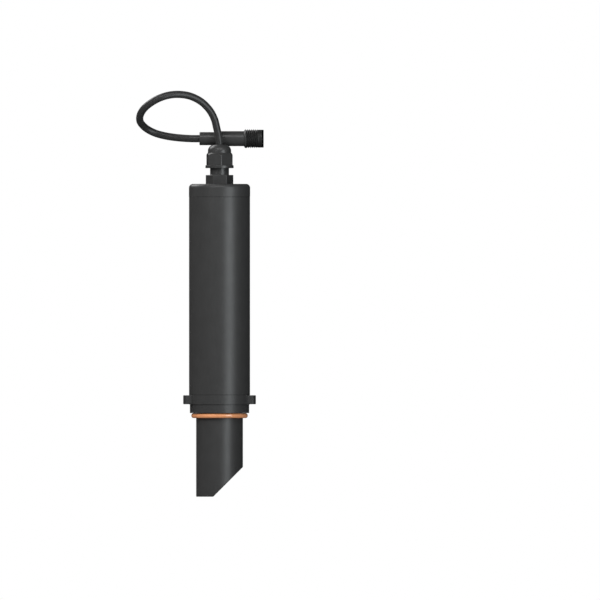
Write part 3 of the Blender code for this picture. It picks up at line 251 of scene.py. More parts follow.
class Finish:
    """A procedural material that is built up from object coordinates, in metres."""

    def __init__(self, name, roughness, metallic=0.0, **uniform):
        self.material = bpy.data.materials.new(name)
        self.material.use_nodes = True
        self.nodes = self.material.node_tree.nodes
        self.links = self.material.node_tree.links
        self.shader = self.nodes["Principled BSDF"]
        self.shader.inputs["Roughness"].default_value = roughness
        self.shader.inputs["Metallic"].default_value = metallic
        for socket, value in uniform.items():
            self.shader.inputs[socket.replace("_", " ")].default_value = value
        self.place = self.nodes.new("ShaderNodeTexCoord").outputs["Object"]

    def node(self, kind, **settings):
        made = self.nodes.new(kind)
        for name, value in settings.items():
            setattr(made, name, value)
        return made

    def noise(self, grain, detail=3.0, stretch=(1, 1, 1)):
        """Noise whose grains are about so many metres across, stretched along an axis if asked."""
        mapping = self.node("ShaderNodeMapping")
        mapping.inputs["Scale"].default_value = [1 / (grain * share) for share in stretch]
        self.links.new(self.place, mapping.inputs["Vector"])
        noise = self.node("ShaderNodeTexNoise")
        noise.inputs["Scale"].default_value = 1.0
        noise.inputs["Detail"].default_value = detail
        self.links.new(mapping.outputs["Vector"], noise.inputs["Vector"])
        return noise.outputs["Fac"]

    def turning(self, spacing):
        """Fine tool marks: bands along Z on the sides, and rings on the ends."""
        heights = []
        for kind, axis in (("BANDS", "bands_direction"), ("RINGS", "rings_direction")):
            wave = self.node("ShaderNodeTexWave", wave_type=kind, **{axis: "Z"})
            wave.inputs["Scale"].default_value = WAVE_PERIOD / spacing
            wave.inputs["Distortion"].default_value = 0.6
            wave.inputs["Detail"].default_value = 1.0
            self.links.new(self.place, wave.inputs["Vector"])
            heights.append(wave.outputs["Fac"])
        return self.math("ADD", *heights)

    def math(self, operation, first, second):
        made = self.node("ShaderNodeMath", operation=operation)
        for socket, value in zip(made.inputs, (first, second)):
            if isinstance(value, float):
                socket.default_value = value
            else:
                self.links.new(value, socket)
        return made.outputs["Value"]

    def paint(self, factor, dark, light):
        """Base colour that runs from dark to light over the noise's middle range."""
        ramp = self.node("ShaderNodeValToRGB")
        ends = ramp.color_ramp.elements
        ends[0].position, ends[0].color = 0.3, dark
        ends[1].position, ends[1].color = 0.7, light
        self.links.new(factor, ramp.inputs["Fac"])
        self.links.new(ramp.outputs["Color"], self.shader.inputs["Base Color"])

    def roughen(self, factor, low, high):
        """Roughness that runs from low to high over the noise's middle range."""
        spread = self.node("ShaderNodeMapRange")
        spread.inputs["From Min"].default_value = 0.25
        spread.inputs["From Max"].default_value = 0.75
        spread.inputs["To Min"].default_value = low
        spread.inputs["To Max"].default_value = high
        self.links.new(factor, spread.inputs["Value"])
        self.links.new(spread.outputs["Result"], self.shader.inputs["Roughness"])

    def bump(self, height, depth):
        bump = self.node("ShaderNodeBump")
        bump.inputs["Distance"].default_value = depth
        self.links.new(height, bump.inputs["Height"])
        self.links.new(bump.outputs["Normal"], self.shader.inputs["Normal"])


def machined_polymer(name, level, roughness, specular=0.5):
    """Black polymer, turned and left satin, with faint tool marks and handling."""
    finish = Finish(name, roughness, Specular_IOR_Level=specular)
    finish.paint(finish.noise(9 * MM), grey(level - 1.5), grey(level + 1.5))
    finish.roughen(finish.noise(3 * MM, stretch=(1, 1, 4)), roughness - 0.03, roughness + 0.03)
    grain = finish.noise(0.25 * MM, detail=2.0)
    marks = finish.turning(0.3 * MM)
    finish.bump(finish.math("ADD", grain, finish.math("MULTIPLY", marks, 0.35)), 0.0015 * MM)
    return finish.material


def moulded_polymer(name, level, roughness, grain_depth=0.0015, **uniform):
    """Black plastic from a finely spark-eroded mould, whose grain is so many millimetres deep."""
    finish = Finish(name, roughness, **uniform)
    finish.paint(finish.noise(4 * MM), grey(level - 2), grey(level + 2))
    finish.roughen(finish.noise(1.5 * MM), roughness - 0.04, roughness + 0.04)
    finish.bump(finish.noise(0.22 * MM, detail=2.0), grain_depth * MM)
    return finish.material


def two_tone(name, dark, light, roughness, grain=1.0, depth=0.004, metallic=0.0, **uniform):
    """A finish whose colour drifts between two close tones. Its grain and depth are in millimetres."""
    finish = Finish(name, roughness, metallic, **uniform)
    finish.paint(finish.noise(grain * MM), dark, light)
    finish.roughen(finish.noise(grain * MM / 2), roughness - 0.03, roughness + 0.03)
    finish.bump(finish.noise(grain * MM / 4, detail=2.0), depth * MM)
    return finish.material


MATERIALS = {
    "black_polymer": machined_polymer("satin_black_polymer", 58, 0.40),
    "tip_polymer": machined_polymer("satin_tip_polymer", 58, 0.44, specular=0.6),
    "black_nylon": moulded_polymer("moulded_black_nylon", 57, 0.31),
    "thread_nylon": moulded_polymer("thread_black_nylon", 32, 0.46, Specular_IOR_Level=0.4),
    "cable_black": moulded_polymer(
        "cable_sheath", 49, 0.36, 0.0012, Specular_IOR_Level=0.42, Sheen_Weight=0.08, Sheen_Roughness=0.4
    ),
    "black_rubber": two_tone("black_rubber", grey(26), grey(32), 0.7),
    # Painted shade: a near-black finish that reflects no light, laid as dark bands in the seam grooves
    # and on the plug's rim
    "dark_groove": two_tone("groove_shadow", grey(4), grey(6), 0.9, Specular_IOR_Level=0.0),
    "window_glue": two_tone("window_glue", grey(20), grey(26), 0.3),
    "matt_black": two_tone("matt_black", grey(20), grey(25), 0.85),
    "chip_black": two_tone("chip_package", grey(32), grey(37), 0.55),
    "orange_silicone": two_tone(
        "orange_silicone", colour(232, 156, 108), colour(240, 166, 119), 0.13, grain=2.0, depth=0.001,
        Specular_IOR_Level=1.0,
    ),
    "window_glass": two_tone(
        "window_glass", colour(150, 160, 185), colour(160, 170, 195), 0.06,
        depth=0.0002, Transmission_Weight=0.75, IOR=1.47,
    ),
    "led_lens": two_tone("led_lens", colour(66, 56, 106), colour(74, 64, 114), 0.12),
    "board_green": two_tone("solder_mask", colour(24, 86, 48), colour(32, 98, 56), 0.45),
    "ceramic_tan": two_tone("thermistor_ceramic", colour(164, 134, 94), colour(176, 146, 106), 0.6),
    "capacitor_can": two_tone("drawn_can", grey(186), grey(196), 0.3, metallic=1.0),
    "gold_pin": two_tone("gold_plate", colour(208, 168, 84), colour(220, 184, 98), 0.25, metallic=1.0),
    "holder_grey": two_tone("grey_holder", grey(146), grey(154), 0.5),
    "terminal_green": two_tone("green_terminal", colour(54, 144, 84), colour(66, 156, 96), 0.4),
    "ribbon_grey": two_tone("ribbon_lead", grey(156), grey(164), 0.5),
    "core_brown": two_tone("brown_core", colour(106, 62, 38), colour(114, 70, 42), 0.45),
    "core_black": two_tone("black_core", grey(24), grey(28), 0.45),
    "core_blue": two_tone("blue_core", colour(36, 76, 166), colour(44, 84, 174), 0.45),
    "core_white": two_tone("white_core", grey(220), grey(228), 0.45),
}


# Mesh building


def to_mesh(name, bm):
    mesh = bpy.data.meshes.new(name)
    bm.to_mesh(mesh)
    bm.free()
    return mesh


def add_mesh(name, bm, finish, sharp=SHARP_ANGLE):
    """Links the mesh as a piece of the object, shaded smooth but for its sharp edges."""
    mesh = to_mesh(name, bm)
    obj = bpy.data.objects.new(name, mesh)
    bpy.context.scene.collection.objects.link(obj)
    mesh.materials.append(MATERIALS[finish])
    shade(obj, sharp)
    return obj


def shade(obj, sharp):
    """Smooth shading in which large faces outweigh the small ones of their rounded edges."""
    obj.data.shade_smooth()
    obj.data.set_sharp_from_angle(angle=sharp)
    weighted = obj.modifiers.new("weighted_normals", "WEIGHTED_NORMAL")
    weighted.keep_sharp = True


def stand_for(obj, slot, *nodes):
    """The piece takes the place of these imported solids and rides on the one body."""
    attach(obj, "root")
    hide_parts(*nodes)
    return obj


def rounded(outline):
    """An outline of (radius, height, fillet) corners, with each fillet drawn as an arc."""
    points = []
    count = len(outline)
    for index, (radius, height, fillet) in enumerate(outline):
        corner = Vector((radius, height))
        before = Vector(outline[index - 1][:2]) - corner
        after = Vector(outline[(index + 1) % count][:2]) - corner
        if not fillet:
            points.append(tuple(corner))
            continue
        turn = before.angle(after)
        reach = fillet / math.tan(turn / 2)
        inward = (before.normalized() + after.normalized()).normalized()
        centre = corner + inward * fillet / math.sin(turn / 2)
        start = corner + before.normalized() * reach - centre
        end = corner + after.normalized() * reach - centre
        sweep = start.angle_signed(end)
        for step in range(CORNER_STEPS + 1):
            share = step / CORNER_STEPS
            spoke = start.copy()
            spoke.rotate(Matrix.Rotation(-sweep * share, 2))
            points.append(tuple(centre + spoke))
    return points


def spun(rows, steps, closed=True, turn=None):
    """A mesh about Z from rows of (radius, height), placed by a matrix if one is given. A radius may be
    a function of the angle. The outline is closed as a ring, or runs between two poles on the axis."""
    points = []
    faces = []
    for radius, height in rows:
        for step in range(steps):
            angle = 2 * math.pi * step / steps
            reach = radius(angle) if callable(radius) else radius
            points.append((reach * math.cos(angle), reach * math.sin(angle), height))
    count = len(rows)
    for row in range(count if closed else count - 1):
        above = (row + 1) % count
        for step in range(steps):
            beside = (step + 1) % steps
            faces.append(
                (row * steps + step, row * steps + beside, above * steps + beside, above * steps + step)
            )
    bm = bmesh.new()
    verts = [bm.verts.new(point) for point in points]
    for face in faces:
        bm.faces.new([verts[index] for index in face])
    bmesh.ops.remove_doubles(bm, verts=bm.verts, dist=MERGE)
    bmesh.ops.dissolve_degenerate(bm, edges=bm.edges, dist=MERGE)
    bmesh.ops.recalc_face_normals(bm, faces=bm.faces)
    if turn is not None:
        bm.transform(turn)
    return bm


def turned(name, outline, finish, steps=BODY_STEPS, turn=None):
    """A piece from a closed outline of (radius, height, fillet) corners, about Z unless turned."""
    return add_mesh(name, spun(rounded(outline), steps, turn=turn), finish)


def subtract(obj, *cutters):
    """Cuts the other objects from this one and removes them."""
    obj.modifiers.clear()
    for cutter in cutters:
        cutter.modifiers.clear()
        modifier = obj.modifiers.new("cut", "BOOLEAN")
        modifier.solver = "EXACT"
        modifier.object = cutter
    graph = bpy.context.evaluated_depsgraph_get()
    mesh = bpy.data.meshes.new_from_object(obj.evaluated_get(graph))
    obj.modifiers.clear()
    obj.data = mesh
    shade(obj, SHARP_ANGLE)
    for cutter in cutters:
        bpy.data.objects.remove(cutter)
    return obj


def smooth_through(points, steps):
    """Points of a smooth curve through the given ones, with so many steps to each span."""
    first = 2 * points[0] - points[1]
    last = 2 * points[-1] - points[-2]
    padded = [first, *points, last]
    curve = []
    for before, start, end, after in zip(padded, padded[1:], padded[2:], padded[3:]):
        for step in range(steps):
            t = step / steps
            pull = (end - before) * t + (2 * before - 5 * start + 4 * end - after) * t**2
            curve.append(0.5 * (2 * start + pull + (3 * start - before - 3 * end + after) * t**3))
    curve.append(points[-1])
    return curve


def along_x(y, z):
    """The matrix that lays a piece turned about Z along +X, through that place."""
    return Matrix.Translation((0, y, z)) @ Matrix.Rotation(math.pi / 2, 4, "Y")


# Camera: square on to the front, with no perspective

camera_data = bpy.data.cameras.new("camera")
camera_data.type = "ORTHO"
camera_data.ortho_scale = VIEW_WIDTH
camera_data.clip_end = 10
camera = bpy.data.objects.new("camera", camera_data)
camera.location = CAMERA_PLACE
camera.rotation_euler = (math.pi / 2, 0, 0)
bpy.context.scene.collection.objects.link(camera)
bpy.context.scene.camera = camera

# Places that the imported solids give

tube_low, tube_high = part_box("housing_tube")
cap_low, cap_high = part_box("top_cap")
ring_low, ring_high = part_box("bayonet_ring")
collar_low, collar_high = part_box("end_collar")
seal_low, seal_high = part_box("fitting_seal")
tip_low, tip_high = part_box("probe_tip")
gland_low, gland_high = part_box("gland_body")
nut_low, nut_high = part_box("gland_nut")
plug_low, plug_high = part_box("plug_body")
shell_low, shell_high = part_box("plug_shell")
insert_low, insert_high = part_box("plug_insert")
plug_y = (plug_low.y + plug_high.y) / 2
plug_z = (plug_low.z + plug_high.z) / 2
plug_turn = along_x(plug_y, plug_z)


def make_cable():
    """The free cable, from inside the nut's mouth into the back of the plug."""
    mouth = Vector((0, 0, nut_high.z))
    start = mouth - Vector((0, 0, CABLE_IN_NUT))
    end = Vector((plug_low.x + CABLE_IN_PLUG, plug_y, plug_z))
    lead_in = Vector((plug_low.x - CABLE_LEAD_IN, plug_y, plug_z))
    route = [start, *(mouth + Vector(point) * MM for point in CABLE_ROUTE), lead_in, end]
    points = smooth_through(route, CABLE_SPAN_STEPS)
    curve = bpy.data.curves.new("cable_sheath", "CURVE")
    curve.dimensions = "3D"
    curve.bevel_depth = CABLE_RADIUS
    curve.bevel_resolution = CABLE_ROUNDNESS
    curve.use_fill_caps = True
    spline = curve.splines.new("POLY")
    spline.points.add(len(points) - 1)
    for target, point in zip(spline.points, points):
        target.co = (*point, 1)
    spline.use_smooth = True
    curve.materials.append(MATERIALS["cable_black"])
    cable = bpy.data.objects.new("cable_sheath", curve)
    bpy.context.scene.collection.objects.link(cable)
    stand_for(cable, "cable_black", "cable")
    length = sum((b - a).length for a, b in zip(points, points[1:]))
    return cable, start, length


cable, cable_exit, cable_length = make_cable()


def make_overmould():
    """The strain relief and barrel of the plug, bored for the cable."""
    bore = CABLE_RADIUS + CABLE_CLEARANCE
    back = plug_low.x
    bore_end = back + 1.5 * CABLE_IN_PLUG
    sleeve_end = back + SLEEVE_LENGTH
    front = shell_low.x - SEAM
    body = turned(
        "plug_overmould",
        [
            (0, bore_end, 0),
            (bore, bore_end, 0),
            (bore, back, EDGE),
            (SLEEVE_RADIUS, back, SLEEVE_EDGE),
            (SLEEVE_RADIUS, sleeve_end, EDGE),
            (BARREL_RADIUS, sleeve_end, SLEEVE_EDGE),
            (BARREL_RADIUS, front, 0),
            (0, front, 0),
        ],
        "black_nylon",
        steps=PLUG_STEPS,
        turn=plug_turn,
    )
    return stand_for(body, "black_nylon", "plug_body")


def make_shell():
    """The plug's shell: a rounded collar, the thread that runs on from it, and a near-black ring of
    painted shade at its rim.
    """
    cone_end = shell_low.x + SHELL_CONE
    collar_end = shell_low.x + SHELL_COLLAR
    land = shell_high.x - SHELL_LAND_LENGTH
    rim = shell_high.x - RIM_WIDTH
    step = shell_low.x + SHELL_BACK_WALL
    cone = [shell_low.x + SHELL_CONE * share / CONE_STEPS for share in range(CONE_STEPS)]
    rows = [(shoulder_radius(along, cone_end, land), along) for along in cone]
    rows += thread_rows(cone_end, collar_end, land)
    rows += [(SHELL_BACK_BORE, collar_end), (SHELL_BACK_BORE, shell_low.x)]
    collar = add_mesh("plug_collar", spun(rows, PLUG_STEPS, turn=plug_turn), "black_nylon")
    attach(collar, "root")

    rows = thread_rows(collar_end, land, land)
    rows += [
        (SHELL_LAND_RADIUS, land + EDGE),
        (SHELL_LAND_RADIUS, rim),
        (SOCKET_RADIUS, rim),
        (SOCKET_RADIUS, step),
        (SHELL_BACK_BORE, step),
        (SHELL_BACK_BORE, collar_end),
    ]
    shell = add_mesh("plug_thread", spun(rows, PLUG_STEPS, turn=plug_turn), "thread_nylon")
    stand_for(shell, "black_nylon", "plug_shell")

    # Painted shade: the rim ring is near-black and reflects no light, standing in for shade on the rim's
    # rounding
    band = turned(
        "plug_rim_ring",
        [
            (SOCKET_RADIUS, rim + SEAM, 0),
            (SHELL_LAND_RADIUS, rim + SEAM, 0),
            (SHELL_LAND_RADIUS, shell_high.x, RIM_EDGE),
            (SOCKET_RADIUS, shell_high.x, EDGE),
        ],
        "dark_groove",
        steps=PLUG_STEPS,
        turn=plug_turn,
    )
    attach(band, "root")
    return [collar, shell, band]


def make_contacts():
    """The insert in the plug's socket, and its contacts."""
    insert_radius = (insert_high.z - insert_low.z) / 2
    carrier = turned(
        "contact_carrier",
        [
            (0, insert_low.x, 0),
            (insert_radius, insert_low.x, 0),
            (insert_radius, insert_high.x, EDGE),
            (0, insert_high.x, 0),
        ],
        "matt_black",
        steps=PLUG_STEPS,
        turn=plug_turn,
    )
    pieces = [stand_for(carrier, "matt_black", "plug_insert")]
    for index in range(1, PIN_COUNT + 1):
        node = f"contact_pin_{index}"
        low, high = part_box(node)
        middle = (low + high) / 2
        pin = turned(
            f"contact_{index}",
            [
                (0, insert_high.x - EDGE, 0),
                (PIN_RADIUS, insert_high.x - EDGE, 0),
                (PIN_RADIUS, high.x, PIN_ROUNDING),
                (0, high.x, 0),
            ],
            "gold_pin",
            steps=PIN_STEPS,
            turn=along_x(middle.y, middle.z),
        )
        pieces.append(stand_for(pin, "gold_pin", node))
    return pieces


def thread_rows(start, end, land):
    """Rows of the thread between two places along the shell."""
    count = round((end - start) / THREAD_PITCH * THREAD_SAMPLES)
    places = [start + (end - start) * index / count for index in range(count + 1)]
    return [(thread_radius(along, land), along) for along in places]


def shoulder_radius(along, end, land):
    """The radius on the rounded cone between the barrel and the thread's first ridge."""
    share = math.sin(math.pi / 2 * (1 - (end - along) / SHELL_CONE))
    ridge = thread_radius(end, land)
    return lambda angle: BARREL_RADIUS + (ridge(angle) - BARREL_RADIUS) * share


def thread_radius(along, end):
    """The thread's radius at a place along the shell: a rounded helix that begins with a higher ridge
    on the underside and runs out on the land."""
    turns = (along - shell_low.x - THREAD_PLACE) / THREAD_PITCH
    fade = min(1.0, (end - along) / THREAD_PITCH)
    crest = SHELL_LAND_RADIUS + (THREAD_RADIUS - SHELL_LAND_RADIUS) * fade

    def radius(angle):
        lowest = (1 + math.cos(angle)) / 2
        ridge = THREAD_RIDGE * lowest * max(0.0, 1 - abs(turns))
        valley = (1 - math.cos(2 * math.pi * turns - angle)) / 2
        begun = min(1.0, max(0.0, 2 * turns + 2 - lowest))
        return crest + ridge - THREAD_DEPTH * fade * valley * begun

    return radius


plug_pieces = [make_overmould(), *make_shell(), *make_contacts()]


def make_body():
    """The tube with its cap, bayonet ring and collar, which meet in fine seams, with bands of painted
    shade in the ring's and the cap's seam grooves.
    """
    radius = tube_high.x
    seam = SEAM / 2
    ring_top = (ring_high.z + tube_low.z) / 2
    cap_seam = (tube_high.z + cap_high.z - CAP_HEIGHT) / 2
    tube = turned(
        "body_tube",
        [
            (TUBE_BORE, ring_top + seam, 0),
            (radius - SEAM_DEPTH, ring_top + seam, 0),
            (radius - SEAM_DEPTH, ring_top + SEAM_GROOVE, 0),
            (radius, ring_top + SEAM_GROOVE, SEAM_EDGE),
            (radius, cap_seam - SEAM_GROOVE, SEAM_EDGE),
            (radius - SEAM_DEPTH, cap_seam - SEAM_GROOVE, 0),
            (radius - SEAM_DEPTH, cap_seam - seam, 0),
            (TUBE_BORE, cap_seam - seam, 0),
        ],
        "black_polymer",
    )
    stand_for(tube, "black_polymer", "housing_tube")
    # Painted shade: near-black bands set in the two seam grooves, where shade falls between the parts
    for name, low in (("ring_seam_line", ring_top), ("cap_seam_line", cap_seam - SEAM_GROOVE)):
        line = turned(
            name,
            [
                (radius - SEAM_DEPTH + SEAM, low + SEAM, 0),
                (radius - SEAM_EDGE / 2, low + SEAM, 0),
                (radius - SEAM_EDGE / 2, low + SEAM_GROOVE - SEAM, 0),
                (radius - SEAM_DEPTH + SEAM, low + SEAM_GROOVE - SEAM, 0),
            ],
            "dark_groove",
        )
        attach(line, "root")

    spigot = TUBE_BORE - SPIGOT_CLEARANCE
    roof = cap_high.z - CAP_ROOF
    cap = turned(
        "body_cap",
        [
            (spigot, cap_seam + seam, 0),
            (cap_high.x, cap_seam + seam, SEAM_EDGE),
            (cap_high.x, cap_high.z, CAP_FILLET),
            (CAP_HOLE, cap_high.z, 0),
            (CAP_HOLE, roof, 0),
            (CAP_BORE, roof, 0),
            (CAP_BORE, cap_low.z, 0),
            (spigot, cap_low.z, 0),
        ],
        "black_polymer",
    )
    stand_for(cap, "black_polymer", "top_cap")

    ring_bottom = (collar_low.z + COLLAR_HEIGHT + ring_low.z) / 2
    make_ring(radius, ring_bottom + seam, ring_top - seam)

    collar_radius = collar_high.x
    bore = NECK_RADIUS + NECK_CLEARANCE
    collar = turned(
        "body_collar",
        [
            (bore, collar_low.z, 0),
            (collar_radius, collar_low.z, SEAM_EDGE),
            (collar_radius, ring_bottom - seam, SEAM_EDGE),
            (spigot, ring_bottom - seam, 0),
            (spigot, collar_high.z, SEAM_EDGE),
            (bore, collar_high.z, 0),
        ],
        "black_polymer",
    )
    stand_for(collar, "black_polymer", "end_collar")


def make_ring(radius, bottom, top):
    """The bayonet ring with its two lugs."""
    inner = TUBE_BORE + SPIGOT_CLEARANCE
    section = [
        (inner, bottom, 0),
        (radius, bottom, SEAM_EDGE),
        (radius, top, SEAM_EDGE),
        (inner, top, 0),
    ]
    bm = spun(rounded(section), BODY_STEPS)
    reach = ring_high.x
    root = (inner + radius) / 2
    inner_flank = math.asin(LUG_HALF_WIDTH / root)
    flank = math.asin(LUG_HALF_WIDTH / reach)
    for side in (1, -1):
        outline = []
        for arc_radius, end in ((reach, flank), (root, -inner_flank)):
            for step in range(LUG_STEPS + 1):
                angle = -end + 2 * end * step / LUG_STEPS
                outline.append((side * arc_radius * math.cos(angle), arc_radius * math.sin(angle)))
        lug = bmesh.new()
        base = lug.faces.new([lug.verts.new((x, y, ring_low.z)) for x, y in outline])
        raised = bmesh.ops.extrude_face_region(lug, geom=[base])["geom"]
        bmesh.ops.translate(
            lug,
            verts=[item for item in raised if isinstance(item, bmesh.types.BMVert)],
            vec=(0, 0, ring_high.z - ring_low.z),
        )
        bmesh.ops.recalc_face_normals(lug, faces=lug.faces)
        rim = [edge for edge in lug.edges if edge.calc_face_angle(0) > CREASE_ANGLE]
        round_edges(lug, rim, LUG_EDGE, LUG_EDGE_STEPS)
        part = to_mesh("lug", lug)
        bm.from_mesh(part)
        bpy.data.meshes.remove(part)
    ring = add_mesh("body_bayonet_ring", bm, "black_polymer")
    stand_for(ring, "black_polymer", "bayonet_ring")


def make_fitting_seal():
    """The orange O-ring, with the faint moulding line round its outside."""
    section = (seal_high.z - seal_low.z) / 2
    half_height = (collar_low.z - SEAL_SQUEEZE - seal_low.z) / 2
    middle = seal_low.z + half_height
    centre = seal_high.x - section
    rows = []
    for step in range(SEAL_STEPS):
        angle = 2 * math.pi * step / SEAL_STEPS
        line = SEAL_LINE if step == 0 else 0.0
        reach = section - SEAL_LINE + line
        rows.append((centre + reach * math.cos(angle), middle + half_height * math.sin(angle)))
    seal = add_mesh("orange_seal", spun(rows, BODY_STEPS), "orange_silicone")
    stand_for(seal, "orange_silicone", "fitting_seal")


def make_tip():
    """The probe's tip: a turned nose cut off at 45 degrees, with two windows in the slanted face."""
    radius = tip_high.x
    top = seal_high.z
    bm = spun(
        [
            (0, tip_low.z),
            (radius, tip_low.z),
            (radius, top - EDGE),
            (radius - EDGE, top),
            (NECK_RADIUS, top),
            (NECK_RADIUS, tip_high.z),
            (0, tip_high.z),
        ],
        BODY_STEPS,
        closed=False,
    )
    corner = Vector((radius, 0, tip_low.z + FACE_HEIGHT))
    normal = Vector((1, 0, -1)).normalized()
    slice_off(bm, corner, normal)
    creases = [edge for edge in bm.edges if edge.calc_face_angle(0) > CREASE_ANGLE]
    rim = [edge for edge in creases if max(vert.co.z for vert in edge.verts) < TIP_RIM_TOP]
    round_edges(bm, rim, TIP_EDGE, TIP_EDGE_STEPS)
    tip = add_mesh("tip_nose", bm, "tip_polymer", sharp=CREASE_ANGLE)

    cavity = rod(TIP_BORE, tip_low.z + TIP_FLOOR, CAVITY_TOP)
    slice_off(cavity, corner - FACE_WALL * normal, normal)
    cutters = [add_mesh("tip_cavity", cavity, "tip_polymer")]
    detector_z = tip_low.z + DETECTOR_RISE
    spots = (
        ("emitter", Vector((EMITTER_X, 0, corner.z - (corner.x - EMITTER_X))), 0),
        ("detector", Vector((corner.x - (corner.z - detector_z), 0, detector_z)), -math.pi / 2),
    )
    for name, spot, beam_turn in spots:
        face = Matrix.Translation(spot) @ Matrix.Rotation(FACE_TURN, 4, "Y")
        pocket = rod(WINDOW_RADIUS + WINDOW_GLUE, -WINDOW_THICKNESS - SEAM, POCKET_REACH, face)
        cutters.append(add_mesh(name + "_pocket", pocket, "tip_polymer"))
        towards = Matrix.Translation(spot) @ Matrix.Rotation(beam_turn, 4, "Y")
        beam = rod(BEAM_RADIUS, 0, 2 * FACE_WALL, towards)
        cutters.append(add_mesh(name + "_beam", beam, "tip_polymer"))
        make_window(name, face)
    subtract(tip, *cutters)
    stand_for(tip, "black_polymer", "probe_tip")


def make_window(name, face):
    """A pane set flush in the slanted face, with the ring of bond round it."""
    inner = WINDOW_RADIUS + BOND_GAP
    outer = WINDOW_RADIUS + WINDOW_GLUE - BOND_GAP
    bond = turned(
        name + "_window_bond",
        [
            (inner, -WINDOW_THICKNESS, 0),
            (outer, -WINDOW_THICKNESS, 0),
            (outer, -BOND_RECESS, 0),
            (inner, -BOND_RECESS, 0),
        ],
        "window_glue",
        steps=SMALL_STEPS,
        turn=face,
    )
    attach(bond, "root")
    pane = turned(
        name + "_pane",
        [
            (0, -WINDOW_THICKNESS, 0),
            (WINDOW_RADIUS, -WINDOW_THICKNESS, 0),
            (WINDOW_RADIUS, 0, EDGE),
            (0, 0, 0),
        ],
        "window_glass",
        steps=SMALL_STEPS,
        turn=face,
    )
    stand_for(pane, "window_glass", name + "_window")


def rod(radius, bottom, top, turn=None):
    """A plain cylinder about Z, placed by a matrix if one is given."""
    outline = [(0, bottom), (radius, bottom), (radius, top), (0, top)]
    return spun(outline, SMALL_STEPS, closed=False, turn=turn)


def round_edges(bm, edges, width, steps):
    bmesh.ops.bevel(bm, geom=edges, offset=width, segments=steps, profile=0.5, affect="EDGES")


def slice_off(bm, point, normal):
    """Removes what lies beyond a plane and closes the cut with one flat face."""
    everything = bm.verts[:] + bm.edges[:] + bm.faces[:]
    cut = bmesh.ops.bisect_plane(
        bm, geom=everything, dist=MERGE, plane_co=point, plane_no=normal, clear_outer=True
    )
    rim = [edge for edge in cut["geom_cut"] if isinstance(edge, bmesh.types.BMEdge)]
    bmesh.ops.edgeloop_fill(bm, edges=rim)


def soft_least(first, second, softness):
    """The smaller of two numbers, with the corner between them rounded."""
    share = max(softness - abs(first - second), 0.0) / softness
    return min(first, second) - share * share * softness / 4


def hexagonal(flats, blank, turn):
    """The radius at each angle of a turned blank with six flats of that width."""

    def at(angle):
        across = abs((angle - turn) % (math.pi / 3) - math.pi / 6)
        nearest = flats / 2 / math.cos(across)
        beside = flats / 2 / math.cos(math.pi / 3 - across)
        return soft_least(blank, soft_least(nearest, beside, HEX_ROUNDING), HEX_SOFTNESS)

    return at


def inset(radius, amount):
    """The same radius at each angle, drawn in by an amount."""
    return lambda angle: radius(angle) - amount


def at_least(radius, least):
    """The radius at each angle, or another if that is wider, with the corner between them rounded."""
    return lambda angle: -soft_least(-radius(angle), -least, HEX_SOFTNESS)


def rounded_open(outline, before, after):
    """Rounds a run of corners that lies between two others, and leaves those out."""
    whole = rounded([(*before, 0), *outline, (*after, 0)])
    return whole[1:-1]


def make_gland_body():
    """The gland's body: a hexagon on the cap, and the neck that the nut runs on."""
    seat = cap_high.z + SEAM
    hex_top = cap_high.z + BODY_HEX_TOP
    shoulder = hex_top - BODY_HEX_CHAMFER
    flats = hexagonal(BODY_HEX_FLATS, BODY_HEX_FLATS, BODY_HEX_TURN)
    pocket_floor = gland_high.z - CLAW_POCKET
    rows = [(GLAND_BORE, gland_low.z), (GLAND_THREAD_RADIUS, gland_low.z), (GLAND_THREAD_RADIUS, seat)]
    rows += [(flats, seat), (flats, shoulder)]
    for step in range(1, CORNER_STEPS + 1):
        angle = math.pi / 2 * step / CORNER_STEPS
        drawn_in = inset(flats, BODY_HEX_CHAMFER * (1 - math.cos(angle)))
        rows.append((drawn_in, shoulder + BODY_HEX_CHAMFER * math.sin(angle)))
    rows += rounded_open(
        [
            (GLAND_NECK_RADIUS, hex_top, GLAND_NECK_FOOT),
            (GLAND_NECK_RADIUS, gland_high.z, GLAND_NECK_EDGE),
            (CLAW_POCKET, gland_high.z, 0),
            (CLAW_POCKET, pocket_floor, 0),
            (GLAND_BORE, pocket_floor, 0),
        ],
        (BODY_HEX_FLATS / 2, hex_top),
        (GLAND_BORE, gland_low.z),
    )
    body = add_mesh("gland_hexagon_body", spun(rows, NUT_STEPS), "black_nylon")
    stand_for(body, "black_nylon", "gland_body")


